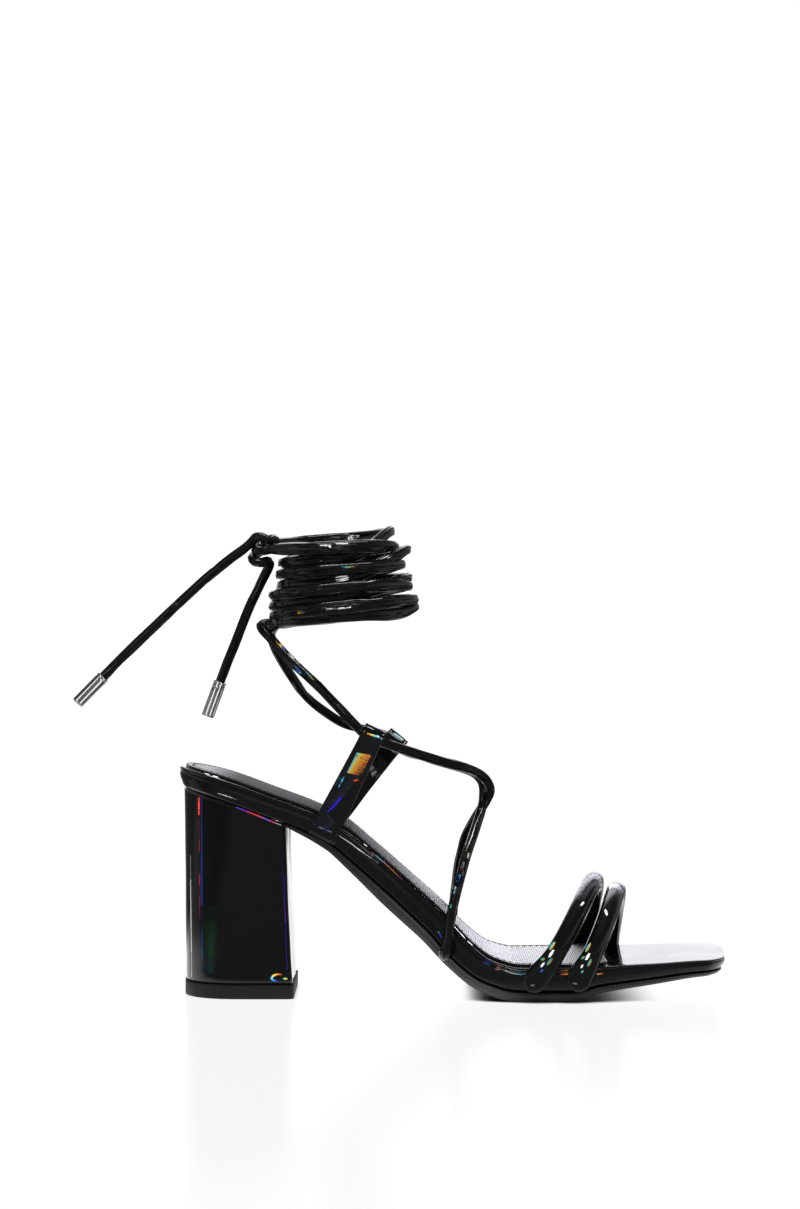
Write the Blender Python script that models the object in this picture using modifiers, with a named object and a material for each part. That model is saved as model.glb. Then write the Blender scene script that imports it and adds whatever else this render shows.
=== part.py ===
# High block-heel sandal, a right shoe: two padded toe straps, heel tabs and laces tied round the ankle.
# Metres, +X to the toe, +Y to the inner side, +Z up, standing on z = 0.

import math

import bmesh
import bpy
import numpy as np
from mathutils import Matrix, Vector

MM = 0.001
SEAM = 0.3 * MM  # gap between pieces that touch
WELD = 0.01 * MM  # points closer than this are one

# Footbed along the foot
HEEL_BACK = -115.0 * MM
HEEL_ROUND = 27.0 * MM  # length of the rounded heel seat
HEEL_SQUARE = 2.5  # power of the heel seat's rounding, 2 is a half circle
TOE_FRONT = 112.6 * MM
TOE_ROUND = 9.0 * MM  # length of the rounded toe corners
TOE_CORNER = 13.0 * MM  # width that each toe corner takes off
TOE_SLANT = 0.09  # the inner side reaches further forward
SLANT_FROM = 46.0 * MM
UPRIGHT_TO = -85.0 * MM  # behind this the board's edge stands upright
BOARD_FLARE = 0.9 * MM  # the board narrows towards its underside
BOARD_EDGE = 2.6 * MM  # radius of the board's edges
OUTSOLE_REAR = -65.8 * MM
OUTSOLE_INSET = 1.4 * MM
OUTSOLE_EDGE = 2.0 * MM
INSOLE_INSET = 2.4 * MM
INSOLE_FRONT = 62.0 * MM
INSOLE_CORNER = 6.0 * MM
INSOLE_THICK = 1.0 * MM  # under the heel and arch
INSOLE_THIN = 0.9 * MM  # under the ball of the foot
INSOLE_THINS = (-10.0 * MM, 22.0 * MM)
INSOLE_EDGES = (0.7 * MM, 0.2 * MM)
OUTSOLE_TOP_EDGE = 0.4 * MM
STATION_STEP = 8.0 * MM
STATION_CLOSE = 5.5 * MM  # step where the footbed drops from arch to ball
CLOSE_RANGE = (-55.0 * MM, 30.0 * MM)
HEEL_SEAT_TURNS = (14, 24, 35, 47, 60, 75)  # degrees round the heel seat
TOE_TURNS = (0, 25, 45, 65, 90)

# Heel block and its top lift
LIFT_HEIGHT = 6.0 * MM
LIFT_PROUD = 0.4 * MM
HEEL_BASE_BACK = -112.4 * MM
HEEL_TOP_BACK = -113.2 * MM
BREAST_BASE = -67.0 * MM
BREAST_TOP = -69.8 * MM
BREAST_HOLLOW = 0.5 * MM  # the breast bows in between its ends
BREAST_EDGE = 1.6 * MM
HEEL_INSET = 1.7 * MM
HEEL_TAPER = 1.2 * MM  # each side draws in towards the floor
HEEL_LEVELS = 6
HEEL_LENGTH = 45.0 * MM  # from the back to the breast, measured along the heel seat
HEEL_SIDE_AHEAD = 6.0 * MM  # where the side runs on past the rounded back
HEEL_BACK_TURNS = (16, 27, 38, 50, 63, 77, 90)
HEEL_BACK_FLAT = 2.0 * MM  # least half width at the very back
HEEL_EDGE_ANGLE = 50.0

# Padded toe straps
STRAP_RADIUS = 4.0 * MM
STRAP_FOOT_WIDE = 4.5 * MM  # half width where the tube lies on the board's edge
STRAP_FOOT_THICK = 1.8 * MM
STRAP_FOOT_LOW = 5.2 * MM
STRAP_FOOT_ROUND = 1.4 * MM
STRAP_FOOT_MIDDLE = 9.0 * MM
STRAP_FOOT_TOP = 11.5 * MM
STRAP_SPRING = 13.0 * MM  # height where the arch starts
STRAP_SIDES = 12
STRAP_ARC = range(4, 178, 8)  # degrees over the arch
STRAP_END_THICK = 0.7  # share of the foot's thickness left at its end
STRAP_FILL_FROM = 11.0 * MM
STRAP_FILL_TO = 22.0 * MM
STRAP_LEAN_POWER = 0.75  # under 1, the arch leans most where it springs from the board

# Heel tabs
TAB_THICK = 1.6 * MM
TAB_WIDE_LOW = 12.0 * MM
TAB_WIDE_TOP = 9.6 * MM
TAB_LOOP = 3.5 * MM  # middle of the folded wall to the tunnel's centre
TAB_BOW = 1.0 * MM
TAB_TAIL = (7.4 * MM, 9.5 * MM, 13.0 * MM)  # places down the folded end from the tunnel's centre
TAB_TAIL_GAP = 0.4 * MM
TAB_ON_BOARD = (0.0, 3.5 * MM, 7.0 * MM, 10.5 * MM)  # places up the part that lies on the board's edge
TAB_RISE = (0.15, 0.3, 0.45, 0.6, 0.75, 0.88)
TAB_FOLD = range(0, 241, 20)  # degrees round the tunnel
TAB_SOFT = 0.45 * MM  # softened corners of the strip
TUNNEL_IN = (5.5 * MM, 0.0, -4.0 * MM, -7.0 * MM)  # lace through a tunnel, from its centre
TIE_OUT = (-7.9 * MM, -10.0 * MM)  # where a tie leaves the tunnel for the ankle

# Laces
LACE_RADIUS = 2.05 * MM
LACE_STEP = 6.0 * MM
LACE_SIDES = 3  # rings of the tube's bevel
ROUTE_FINE = 24  # fine steps between two points of a route
TIP_RADIUS = 2.65 * MM
TIP_BORE = 2.45 * MM
TIP_LENGTH = 15.4 * MM
TIP_DEEP = 11.0 * MM
TIP_SIDES = 16
TIP_CHAMFER = 0.5 * MM
LACE_IN_TIP = 1.9 * MM
LACE_INTO_TIP = 4.0 * MM

# Turns of the ankle wrap
WRAP_TURNS = 8
WRAP_BOTTOM = 154.6 * MM
WRAP_PITCH = 4.7 * MM
WRAP_LOW_RADIUS = 29.9 * MM  # middle of the lowest turn
WRAP_HIGH_RADIUS = 24.4 * MM
WRAP_CENTRE = (-46.7 * MM, 0.0)
WRAP_LEAN = -0.075  # the wrap leans back with the leg
WRAP_NARROW = 0.92  # width over length
WRAP_STEPS = 28
RIB_OUTSIDE = (62, 20, -20, -62)  # degrees round each rib
RIB_INSIDE = (50, -50)

KNOT_CENTRE = (-81.4 * MM, -2.0 * MM, 185.6 * MM)
KNOT_RING = 3.4 * MM
KNOT_CORD = 2.3 * MM
KNOT_DROP = 4.0 * MM  # second loop below the first
KNOT_UPRIGHT = 80.0
KNOT_ACROSS = 35.0


class Table:
    """Rows with named columns in millimetres, read between rows by a monotone cubic."""

    def __init__(self, names, rows):
        self.names = names.split()
        self.values = np.array(rows, float) * MM

    def column(self, name):
        return self.values[:, self.names.index(name)]

    def at(self, name, where):
        key = self.values[:, 0]
        value = self.column(name)
        span = np.diff(key)
        rise = np.diff(value) / span
        slope = np.concatenate(([rise[0]], np.zeros(len(key) - 2), [rise[-1]]))
        for i in range(1, len(key) - 1):
            if rise[i - 1] * rise[i] > 0:
                before = 2 * span[i] + span[i - 1]
                after = span[i] + 2 * span[i - 1]
                slope[i] = (before + after) / (before / rise[i - 1] + after / rise[i])
        where = min(max(where, key[0]), key[-1])
        i = min(int(np.searchsorted(key, where, side="right")) - 1, len(span) - 1)
        t = (where - key[i]) / span[i]
        ease = t * t * (3 - 2 * t)
        start = slope[i] * span[i] * t * (1 - t) ** 2
        end = slope[i + 1] * span[i] * t * t * (t - 1)
        return float(value[i] + (value[i + 1] - value[i]) * ease + start + end)


# Footbed sections: height of the board's top, half widths, thicknesses and the insole's padding
SOLE = Table(
    "x top outer inner board tread pad",
    (
        (-115, 95.2, 26.6, 26.6, 8.4, 0.5, 0.2),
        (-97, 90.5, 27.2, 27.2, 8.4, 0.5, 0.4),
        (-76, 83.0, 27.2, 26.8, 8.4, 0.5, 0.8),
        (-58, 76.3, 26.7, 25.4, 8.4, 2.0, 1.0),
        (-47, 70.7, 26.4, 24.4, 8.4, 2.8, 1.0),
        (-36, 61.8, 26.3, 23.7, 8.5, 2.8, 1.0),
        (-20, 47.9, 26.8, 23.9, 8.7, 3.0, 0.9),
        (-5, 34.3, 29.0, 26.2, 9.0, 3.3, 0.8),
        (6, 23.0, 31.8, 29.2, 9.4, 3.5, 0.6),
        (15, 16.9, 34.2, 31.6, 9.7, 3.9, 0.4),
        (26, 14.3, 36.2, 34.1, 9.8, 4.2, 0.2),
        (46, 14.3, 37.3, 36.2, 9.8, 4.2, 0.2),
        (58, 15.0, 37.0, 36.3, 8.0, 3.1, 0.2),
        (83, 15.9, 34.2, 35.0, 6.0, 2.4, 0.2),
        (100, 16.6, 31.2, 33.0, 4.9, 1.9, 0.2),
        (115, 16.7, 27.6, 29.8, 4.2, 1.6, 0.2),
    ),
)

# Toe straps: where each arch springs along the shoe, how far it leans to the toe, its height and how far the near foot trails
STRAPS = Table(
    "number near_x far_x lean crown trail",
    (
        (1, 34.0, 54.0, 14.0, 46.0, 5.0),
        (2, 50.4, 69.0, 7.6, 41.8, 2.4),
    ),
)

# Heel tabs: foot of the tab, its lean to the toe in degrees and the height up to the tunnel's centre
TABS = {
    "heel_tab_outer": {"side": -1, "x": -55.5 * MM, "z": 65.6 * MM, "lean": 26.6, "reach": 46.9 * MM},
    "heel_tab_inner": {"side": 1, "x": -56.5 * MM, "z": 66.0 * MM, "lean": 39.4, "reach": 48.4 * MM},
}

FINISHES = {
    "patent": ((0.012, 0.012, 0.014), 0.12, 0.0),
    "lace_patent": ((0.014, 0.014, 0.016), 0.28, 0.0),
    "sock": ((0.05, 0.05, 0.052), 0.55, 0.0),
    "satin_sole": ((0.04, 0.04, 0.042), 0.45, 0.0),
    "rubber": ((0.02, 0.02, 0.02), 0.7, 0.0),
    "silver": ((0.75, 0.75, 0.76), 0.18, 1.0),
}

parts = None
cutters = None
shoe = None


def start_scene():
    """Clear the scene and make the collections and the empty that carries every piece."""
    global parts, cutters, shoe
    for old in list(bpy.data.objects):
        bpy.data.objects.remove(old)
    parts = bpy.data.collections.new("block_heel_sandal")
    cutters = bpy.data.collections.new("joining_shapes")
    for group in (parts, cutters):
        bpy.context.scene.collection.children.link(group)
    shoe = bpy.data.objects.new("sandal", None)
    parts.objects.link(shoe)


def finish_material(name, finish):
    colour, roughness, metallic = FINISHES[finish]
    material = bpy.data.materials.new(name + "_" + finish)
    material.use_nodes = True
    shader = material.node_tree.nodes["Principled BSDF"]
    shader.inputs["Base Color"].default_value = (*colour, 1.0)
    shader.inputs["Roughness"].default_value = roughness
    shader.inputs["Metallic"].default_value = metallic
    return material


def add_piece(name, data, finish, group=None):
    piece = bpy.data.objects.new(name, data)
    data.materials.append(finish_material(name, finish))
    (group or parts).objects.link(piece)
    piece.parent = shoe
    return piece


def ease(value):
    value = min(max(value, 0.0), 1.0)
    return value * value * (3 - 2 * value)


def mix(a, b, share):
    return a + (b - a) * share


def loft(name, rings, finish, smooth_angle=35.0):
    """Closed skin over a row of rings with equal point counts, capped at both ends."""
    work = bmesh.new()
    rows = [[work.verts.new(point) for point in ring] for ring in rings]
    count = len(rows[0])
    for low, high in zip(rows, rows[1:]):
        for i in range(count):
            j = (i + 1) % count
            work.faces.new((low[i], low[j], high[j], high[i]))
    for cap in (rows[0], rows[-1]):
        work.faces.new(cap)
    bmesh.ops.recalc_face_normals(work, faces=work.faces)
    mesh = bpy.data.meshes.new(name)
    work.to_mesh(mesh)
    work.free()
    mesh.shade_smooth()
    mesh.set_sharp_from_angle(angle=math.radians(smooth_angle))
    return add_piece(name, mesh, finish)


def slope_at(x):
    """Angle of the footbed's top line, levelled out behind the heel seat."""
    step = 0.5 * MM
    rise = SOLE.at("top", x + step) - SOLE.at("top", x - step)
    upright = ease((x - HEEL_BACK) / (UPRIGHT_TO - HEEL_BACK))
    return math.atan2(rise, 2 * step) * upright


def footbed_point(x, y, depth):
    """World point of a place across the footbed, at a depth square to its top line."""
    slope = slope_at(x)
    slant = TOE_SLANT * ease((x - SLANT_FROM) / (TOE_FRONT - SLANT_FROM))
    return Vector((
        x + math.sin(slope) * depth + slant * y,
        y,
        SOLE.at("top", x) - math.cos(slope) * depth,
    ))


def half_width(x, side, inset=0.0):
    """Half width of the footbed's outline at a station, drawn in by an inset."""
    width = SOLE.at("outer" if side < 0 else "inner", x) - inset
    back = HEEL_ROUND - inset
    behind = (HEEL_BACK + HEEL_ROUND - x) / back
    if behind > 0:
        width *= max(0.0, 1 - min(behind, 1.0) ** HEEL_SQUARE) ** (1 / HEEL_SQUARE)
    ahead = (x - (TOE_FRONT - TOE_ROUND)) / (TOE_ROUND - inset)
    if ahead > 0:
        width -= (TOE_CORNER - inset) * (1 - math.sqrt(max(0.0, 1 - min(ahead, 1.0) ** 2)))
    return width


def stations(rear, front, inset):
    """Stations along the footbed, close together where the outline or the profile turns."""
    found = []
    if rear <= HEEL_BACK + inset:
        for degrees in HEEL_SEAT_TURNS:
            found.append(HEEL_BACK + HEEL_ROUND - (HEEL_ROUND - inset) * math.cos(math.radians(degrees)))
    x = HEEL_BACK + HEEL_ROUND
    if rear > x:
        found.append(rear)
    toe_start = TOE_FRONT - TOE_ROUND
    while x < min(front, toe_start) - STATION_STEP / 4:
        if x > rear + STATION_STEP / 8:  # every layer shares the board's stations
            found.append(x)
        x += STATION_CLOSE if CLOSE_RANGE[0] < x < CLOSE_RANGE[1] else STATION_STEP
    if front >= TOE_FRONT - inset:
        for degrees in TOE_TURNS:
            found.append(toe_start + (TOE_ROUND - inset) * math.sin(math.radians(degrees)))
    else:
        found.append(front)
    return found


def rounded_section(left, right, top, bottom, top_edge, bottom_edge, crown=0.0):
    """Outline of a plate's section as (across, depth), with rounded edges and a crowned top."""
    middle = (left + right) / 2
    half = (right - left) / 2
    limit = 0.48 * min(2 * half, bottom - top)
    outline = []
    corners = (
        (right, top, min(top_edge, limit), 0),
        (right, bottom, min(bottom_edge, limit), 90),
        (left, bottom, min(bottom_edge, limit), 180),
        (left, top, min(top_edge, limit), 270),
    )
    for across, depth, radius, turn in corners:
        centre_across = across - math.copysign(radius, across - middle)
        centre_depth = depth + (radius if depth == top else -radius)
        for degrees in (0, 45, 90):
            angle = math.radians(turn + degrees)
            outline.append((centre_across + radius * math.sin(angle), centre_depth - radius * math.cos(angle)))
    for share in (-0.6, -0.2, 0.2, 0.6):
        outline.append((middle + share * half, top))
    return [(a, d - crown * max(0.0, 1 - ((a - middle) / half) ** 2) * (d < top + WELD)) for a, d in outline]


def plate(name, finish, rear, front, inset, top, bottom, edges, flare=0.0, crown=None, corner=0.0):
    """A layer of the sole between two depths, which are functions of the station."""
    rings = []
    for x in stations(rear, front, inset):
        left = -half_width(x, -1, inset)
        right = half_width(x, 1, inset)
        if corner:
            ahead = ease((x - front + corner) / corner)
            left, right = left + corner * ahead, right - corner * ahead
        outline = rounded_section(left, right, top(x), bottom(x), *edges, crown(x) if crown else 0.0)
        ring = []
        for across, depth in outline:
            share = (depth - top(x)) / (bottom(x) - top(x))
            across -= math.copysign(min(flare, 0.2 * (right - left)) * max(share, 0.0), across)
            ring.append(footbed_point(x, across, depth))
        rings.append(ring)
    return loft(name, rings, finish)


def board_depth(x):
    return SOLE.at("board", x)


def insole_depth(x):
    share = ease((x - INSOLE_THINS[0]) / (INSOLE_THINS[1] - INSOLE_THINS[0]))
    return -SEAM - mix(INSOLE_THICK, INSOLE_THIN, share)


def build_sole():
    plate(
        "platform_board", "patent", HEEL_BACK, TOE_FRONT, 0.0,
        lambda x: 0.0, board_depth, (BOARD_EDGE, BOARD_EDGE), BOARD_FLARE,
    )
    plate(
        "outsole", "satin_sole", OUTSOLE_REAR, TOE_FRONT, OUTSOLE_INSET,
        lambda x: board_depth(x) + SEAM,
        lambda x: board_depth(x) + SEAM + SOLE.at("tread", x),
        (OUTSOLE_TOP_EDGE, OUTSOLE_EDGE),
    )
    plate(
        "insole", "sock", HEEL_BACK, INSOLE_FRONT, INSOLE_INSET,
        insole_depth, lambda x: -SEAM, INSOLE_EDGES,
        crown=lambda x: SOLE.at("pad", x), corner=INSOLE_CORNER,
    )


def underside_height():
    """Height of the board's underside over the heel, as a function of the place along the shoe."""
    points = [footbed_point(x, 0.0, board_depth(x)) for x in np.linspace(HEEL_BACK, OUTSOLE_REAR, 60)]
    places = [point.x for point in points]
    heights = [point.z for point in points]
    return lambda x: float(np.interp(x, places, heights))


def heel_rings(back, breast, heights, draw_in):
    """Rings from back to breast, each up the outer side and down the inner side."""
    rounded = HEEL_ROUND - HEEL_INSET
    spots = [rounded * (1 - math.cos(math.radians(degrees))) for degrees in HEEL_BACK_TURNS]
    spots.append(rounded + HEEL_SIDE_AHEAD)
    spots += [HEEL_LENGTH - share * BREAST_EDGE for share in (1.0, 0.3, 0.0)]
    rings = []
    for spot in spots:
        outer, inner = [], []
        for level in range(HEEL_LEVELS + 1):
            share = level / HEEL_LEVELS
            x = mix(back(share), breast(share), spot / HEEL_LENGTH)
            seat = HEEL_BACK + HEEL_INSET + spot
            edge = BREAST_EDGE * max(0.0, (spot - HEEL_LENGTH + BREAST_EDGE) / BREAST_EDGE) ** 2
            z = heights(share, x)
            for side, column in ((-1, outer), (1, inner)):
                width = half_width(seat, side, HEEL_INSET) - draw_in(share) - edge
                column.append(Vector((x, side * max(width, HEEL_BACK_FLAT), z)))
        rings.append(outer + inner[::-1])
    return rings


def build_heel():
    under = underside_height()

    def breast(share):
        return mix(BREAST_BASE, BREAST_TOP, share) - BREAST_HOLLOW * 4 * share * (1 - share)

    loft("heel_block", heel_rings(
        lambda share: mix(HEEL_BASE_BACK, HEEL_TOP_BACK, share),
        breast,
        lambda share, x: mix(LIFT_HEIGHT + SEAM, under(x) - SEAM, share),
        lambda share: HEEL_TAPER * (1 - share),
    ), "patent", HEEL_EDGE_ANGLE)
    loft("top_lift", heel_rings(
        lambda share: HEEL_BASE_BACK - LIFT_PROUD,
        lambda share: BREAST_BASE + LIFT_PROUD,
        lambda share, x: LIFT_HEIGHT * share,
        lambda share: HEEL_TAPER - LIFT_PROUD,
    ), "rubber", HEEL_EDGE_ANGLE)


def sweep(name, path, section, width_axis, finish):
    """Closed skin of sections along a path; each section gives (across, outward) points."""
    rings = []
    last = len(path) - 1
    for i, point in enumerate(path):
        tangent = (path[min(i + 1, last)] - path[max(i - 1, 0)]).normalized()
        across = (width_axis - tangent * width_axis.dot(tangent)).normalized()
        outward = tangent.cross(across)
        rings.append([point + across * a + outward * b for a, b in section(i, point)])
    return loft(name, rings, finish)


def build_toe_strap(name, number):
    """A padded tube arched over the toes, flat where its feet lie on the board's edge."""
    near_x, far_x, lean, crown, trail = (STRAPS.values[number][i] for i in range(1, 6))
    feet = (near_x, far_x)
    edge = [half_width(x, side) + SEAM + STRAP_FOOT_THICK for x, side in zip(feet, (-1, 1))]
    low = [STRAP_FOOT_LOW, STRAP_FOOT_LOW + STRAP_FOOT_ROUND, STRAP_FOOT_MIDDLE, STRAP_FOOT_TOP]
    path = [Vector((near_x - trail * (STRAP_SPRING - z) / (STRAP_SPRING - STRAP_FOOT_LOW), -edge[0], z)) for z in low]
    for degrees in STRAP_ARC:
        angle = math.radians(degrees)
        across = -math.cos(angle)
        path.append(Vector((
            mix(near_x, far_x, degrees / 180) + lean * math.sin(angle) ** STRAP_LEAN_POWER,
            across * edge[0 if across < 0 else 1],
            STRAP_SPRING + (crown - STRAP_SPRING) * math.sin(angle),
        )))
    path += [Vector((far_x, edge[1], z)) for z in reversed(low)]

    def section(i, point):
        fill = ease((point.z - STRAP_FILL_FROM) / (STRAP_FILL_TO - STRAP_FILL_FROM))
        wide = mix(STRAP_FOOT_WIDE, STRAP_RADIUS, fill)
        thick = mix(STRAP_FOOT_THICK, STRAP_RADIUS, fill)
        if i in (0, len(path) - 1):
            wide -= STRAP_FOOT_ROUND
            thick *= STRAP_END_THICK
        turns = [2 * math.pi * k / STRAP_SIDES for k in range(STRAP_SIDES)]
        return [(wide * math.cos(turn), thick * math.sin(turn)) for turn in turns]

    return sweep(name, path, section, Vector((1, 0, 0)), "patent")


def tab_frame(tab):
    """Foot, direction up the tab, direction along its tunnel, and the tunnel's centre."""
    lean = math.radians(tab["lean"])
    up = Vector((math.sin(lean), 0, math.cos(lean)))
    along = Vector((math.cos(lean), 0, -math.sin(lean)))
    edge = half_width(tab["x"], tab["side"]) + SEAM + TAB_THICK / 2
    foot = Vector((tab["x"], tab["side"] * edge, tab["z"]))
    centre = foot + up * tab["reach"] - Vector((0, tab["side"] * TAB_LOOP, 0))
    return foot, up, along, centre


def build_tab(name):
    """A strip up from the board's edge, folded inwards over the lace and lying back on itself."""
    tab = TABS[name]
    foot, up, along, centre = tab_frame(tab)
    outward = Vector((0, tab["side"], 0))
    reach = tab["reach"]
    board = TAB_ON_BOARD[-1]
    path = [foot + up * height for height in TAB_ON_BOARD]
    for share in TAB_RISE:
        bow = TAB_BOW * math.sin(math.pi * share)
        path.append(foot + up * mix(board, reach, share) + outward * bow)
    for degrees in TAB_FOLD:
        angle = math.radians(degrees)
        path.append(centre + up * TAB_LOOP * math.sin(angle) + outward * TAB_LOOP * math.cos(angle))
    beside = TAB_LOOP - TAB_THICK - TAB_TAIL_GAP
    for drop in TAB_TAIL:
        share = (reach - drop - board) / (reach - board)
        bow = TAB_BOW * math.sin(math.pi * share)
        path.append(centre - up * drop + outward * (beside + bow))

    def section(i, point):
        height = (point - foot).dot(up) / reach
        half = mix(TAB_WIDE_LOW, TAB_WIDE_TOP, ease(height)) / 2
        wall = TAB_THICK / 2
        soft = TAB_SOFT
        return [
            (half, wall - soft), (half - soft, wall), (soft - half, wall), (-half, wall - soft),
            (-half, soft - wall), (soft - half, -wall), (half - soft, -wall), (half, soft - wall),
        ]

    return sweep(name, path, section, along, "patent")


def smooth_route(points, step):
    """Even points on a smooth curve through the route's own points."""
    points = [Vector(point) for point in points]
    padded = [2 * points[0] - points[1], *points, 2 * points[-1] - points[-2]]
    dense = []
    for a, b, c, d in zip(padded, padded[1:], padded[2:], padded[3:]):
        for k in range(ROUTE_FINE):
            t = k / ROUTE_FINE
            dense.append(0.5 * (
                2 * b + (c - a) * t + (2 * a - 5 * b + 4 * c - d) * t * t + (3 * b - a - 3 * c + d) * t ** 3
            ))
    dense.append(points[-1])
    travelled = np.concatenate(([0.0], np.cumsum([(q - p).length for p, q in zip(dense, dense[1:])])))
    count = max(3, round(travelled[-1] / step) + 1)
    even = np.linspace(0.0, travelled[-1], count)
    axes = [np.interp(even, travelled, [point[axis] for point in dense]) for axis in range(3)]
    return [Vector(point) for point in zip(*axes)]


def cord_curve(name, route, radius, finish, group=None, step=LACE_STEP):
    curve = bpy.data.curves.new(name, "CURVE")
    curve.dimensions = "3D"
    curve.bevel_depth = radius
    curve.bevel_resolution = LACE_SIDES - 1
    curve.use_fill_caps = True
    line = curve.splines.new("POLY")
    points = smooth_route(route, step)
    line.points.add(len(points) - 1)
    for knot, point in zip(line.points, points):
        knot.co = (*point, 1.0)
    line.use_smooth = True
    return add_piece(name, curve, finish, group)


def mesh_from_curve(piece, group):
    """The curve's tube as a closed mesh object under the same name."""
    name = piece.name
    bpy.context.view_layer.update()
    depsgraph = bpy.context.evaluated_depsgraph_get()
    mesh = bpy.data.meshes.new_from_object(piece.evaluated_get(depsgraph), depsgraph=depsgraph)
    place = piece.matrix_world.copy()
    bpy.data.objects.remove(piece)
    work = bmesh.new()
    work.from_mesh(mesh)
    bmesh.ops.remove_doubles(work, verts=work.verts, dist=WELD)
    work.to_mesh(mesh)
    work.free()
    solid = bpy.data.objects.new(name, mesh)
    group.objects.link(solid)
    solid.parent = shoe
    solid.matrix_world = place
    return solid


def join(base, other):
    """Join another closed shape to a piece; the other stays as a hidden guide."""
    union = base.modifiers.new("join", "BOOLEAN")
    union.operation = "UNION"
    union.solver = "EXACT"
    union.object = other
    other.hide_render = True
    other.display_type = "WIRE"
    return base


def metres(*rows):
    return [Vector(row) * MM for row in rows]


def lace_foot(low, high, side):
    """A lace's way up the board's edge, from a low station at the underside to a high one at the top."""
    beside = SEAM + LACE_RADIUS
    route = []
    for x, share in ((low, 1.0), (mix(low, high, 0.5), 0.5), (high, 0.0)):
        route.append(footbed_point(x, side * (half_width(x, side) + beside), share * board_depth(x)))
    return route


def tunnel_run(name, ends):
    """Places along a tab's tunnel, given as distances from its centre."""
    _, _, along, centre = tab_frame(TABS[name])
    return [centre + along * end for end in ends]


def build_instep_lacing():
    """Both laces from the sole's edges, crossing over the instep and on through the opposite tabs."""
    from_outer = lace_foot(4.2 * MM, -1.8 * MM, -1) + metres(
        (0.2, -29.6, 43.0), (3.8, -22.6, 57.0), (8.0, -12.4, 68.0), (11.0, -4.6, 76.5), (12.2, 2.0, 84.4),
        (10.4, 6.0, 89.2), (4.4, 11.0, 92.6), (-9.8, 17.4, 96.3),
    )
    from_inner = lace_foot(6.0 * MM, -0.2 * MM, 1) + metres(
        (1.0, 26.6, 42.0), (2.4, 18.6, 54.0), (4.8, 10.6, 64.0), (9.0, 4.2, 72.6), (13.0, 0.4, 79.6),
        (14.7, -2.4, 84.8), (11.6, -5.4, 90.2), (4.0, -11.0, 94.2), (-10.6, -17.0, 98.6),
    )
    first = cord_curve("instep_lacing", from_outer + tunnel_run("heel_tab_inner", TUNNEL_IN), LACE_RADIUS, "lace_patent")
    second = cord_curve(
        "instep_lacing_from_inner", from_inner + tunnel_run("heel_tab_outer", TUNNEL_IN),
        LACE_RADIUS, "lace_patent", cutters,
    )
    join(mesh_from_curve(first, parts), mesh_from_curve(second, cutters))


def build_ankle_ties():
    to_back = {
        "ankle_tie_outer": ("heel_tab_outer", metres(
            (-48.8, -22.8, 119.4), (-56.3, -19.4, 127.4), (-65.0, -14.6, 135.6), (-71.5, -10.6, 141.9),
            (-76.6, -6.9, 147.4), (-77.6, -3.4, 151.4),
        )),
        "ankle_tie_inner": ("heel_tab_inner", metres(
            (-39.6, 23.0, 110.6), (-46.8, 22.8, 111.4), (-55.1, 21.4, 116.4), (-62.8, 18.6, 122.8),
            (-69.4, 13.6, 132.2), (-75.2, 7.6, 142.8), (-77.4, 3.4, 151.4),
        )),
    }
    for name, (tab, route) in to_back.items():
        start = tunnel_run(tab, TIE_OUT)
        cord_curve(name, start + route, LACE_RADIUS, "lace_patent")


def build_ankle_wrap():
    """A turned ring with one round rib for each turn of lace, hollow for the leg."""
    work = bmesh.new()
    outer, inner = [], []
    for turn in reversed(range(WRAP_TURNS)):
        share = turn / (WRAP_TURNS - 1)
        middle = mix(WRAP_LOW_RADIUS, WRAP_HIGH_RADIUS, share)
        height = LACE_RADIUS + WRAP_PITCH * turn
        for degrees in RIB_OUTSIDE:
            angle = math.radians(degrees)
            outer.append((middle + LACE_RADIUS * math.cos(angle), height + LACE_RADIUS * math.sin(angle)))
        for degrees in RIB_INSIDE:
            angle = math.radians(degrees)
            inner.append((middle - LACE_RADIUS * math.cos(angle), height + LACE_RADIUS * math.sin(angle)))
    profile = [work.verts.new((radius, 0.0, height)) for radius, height in outer + inner[::-1]]
    for a, b in zip(profile, profile[1:] + profile[:1]):
        work.edges.new((a, b))
    mesh = bpy.data.meshes.new("ankle_wrap")
    work.to_mesh(mesh)
    work.free()
    wrap = add_piece("ankle_wrap", mesh, "lace_patent")
    turn = wrap.modifiers.new("turn", "SCREW")
    turn.steps = turn.render_steps = WRAP_STEPS
    turn.use_merge_vertices = True
    turn.merge_threshold = WELD
    wrap.location = (*WRAP_CENTRE, WRAP_BOTTOM)
    wrap.rotation_euler = (0.0, WRAP_LEAN, 0.0)
    wrap.scale = (1.0, WRAP_NARROW, 1.0)


def ring_mesh(name, place):
    bpy.ops.mesh.primitive_torus_add(
        major_radius=KNOT_RING, minor_radius=KNOT_CORD, major_segments=16, minor_segments=8,
    )
    made = bpy.context.object
    mesh = made.data
    mesh.name = name
    bpy.data.objects.remove(made)
    mesh.transform(place)
    mesh.shade_smooth()
    return mesh


def build_knot():
    """Two hitched loops of lace, one upright and one across it."""
    upright = Matrix.Rotation(math.radians(KNOT_UPRIGHT), 4, "X")
    across = Matrix.Translation((0, 0, -KNOT_DROP)) @ Matrix.Rotation(math.radians(KNOT_ACROSS), 4, "Y")
    knot = add_piece("ankle_knot", ring_mesh("ankle_knot", upright), "lace_patent")
    second = add_piece("ankle_knot_second_loop", ring_mesh("ankle_knot_second_loop", across), "lace_patent", cutters)
    for piece in (knot, second):
        piece.location = KNOT_CENTRE
    join(knot, second)


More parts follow.
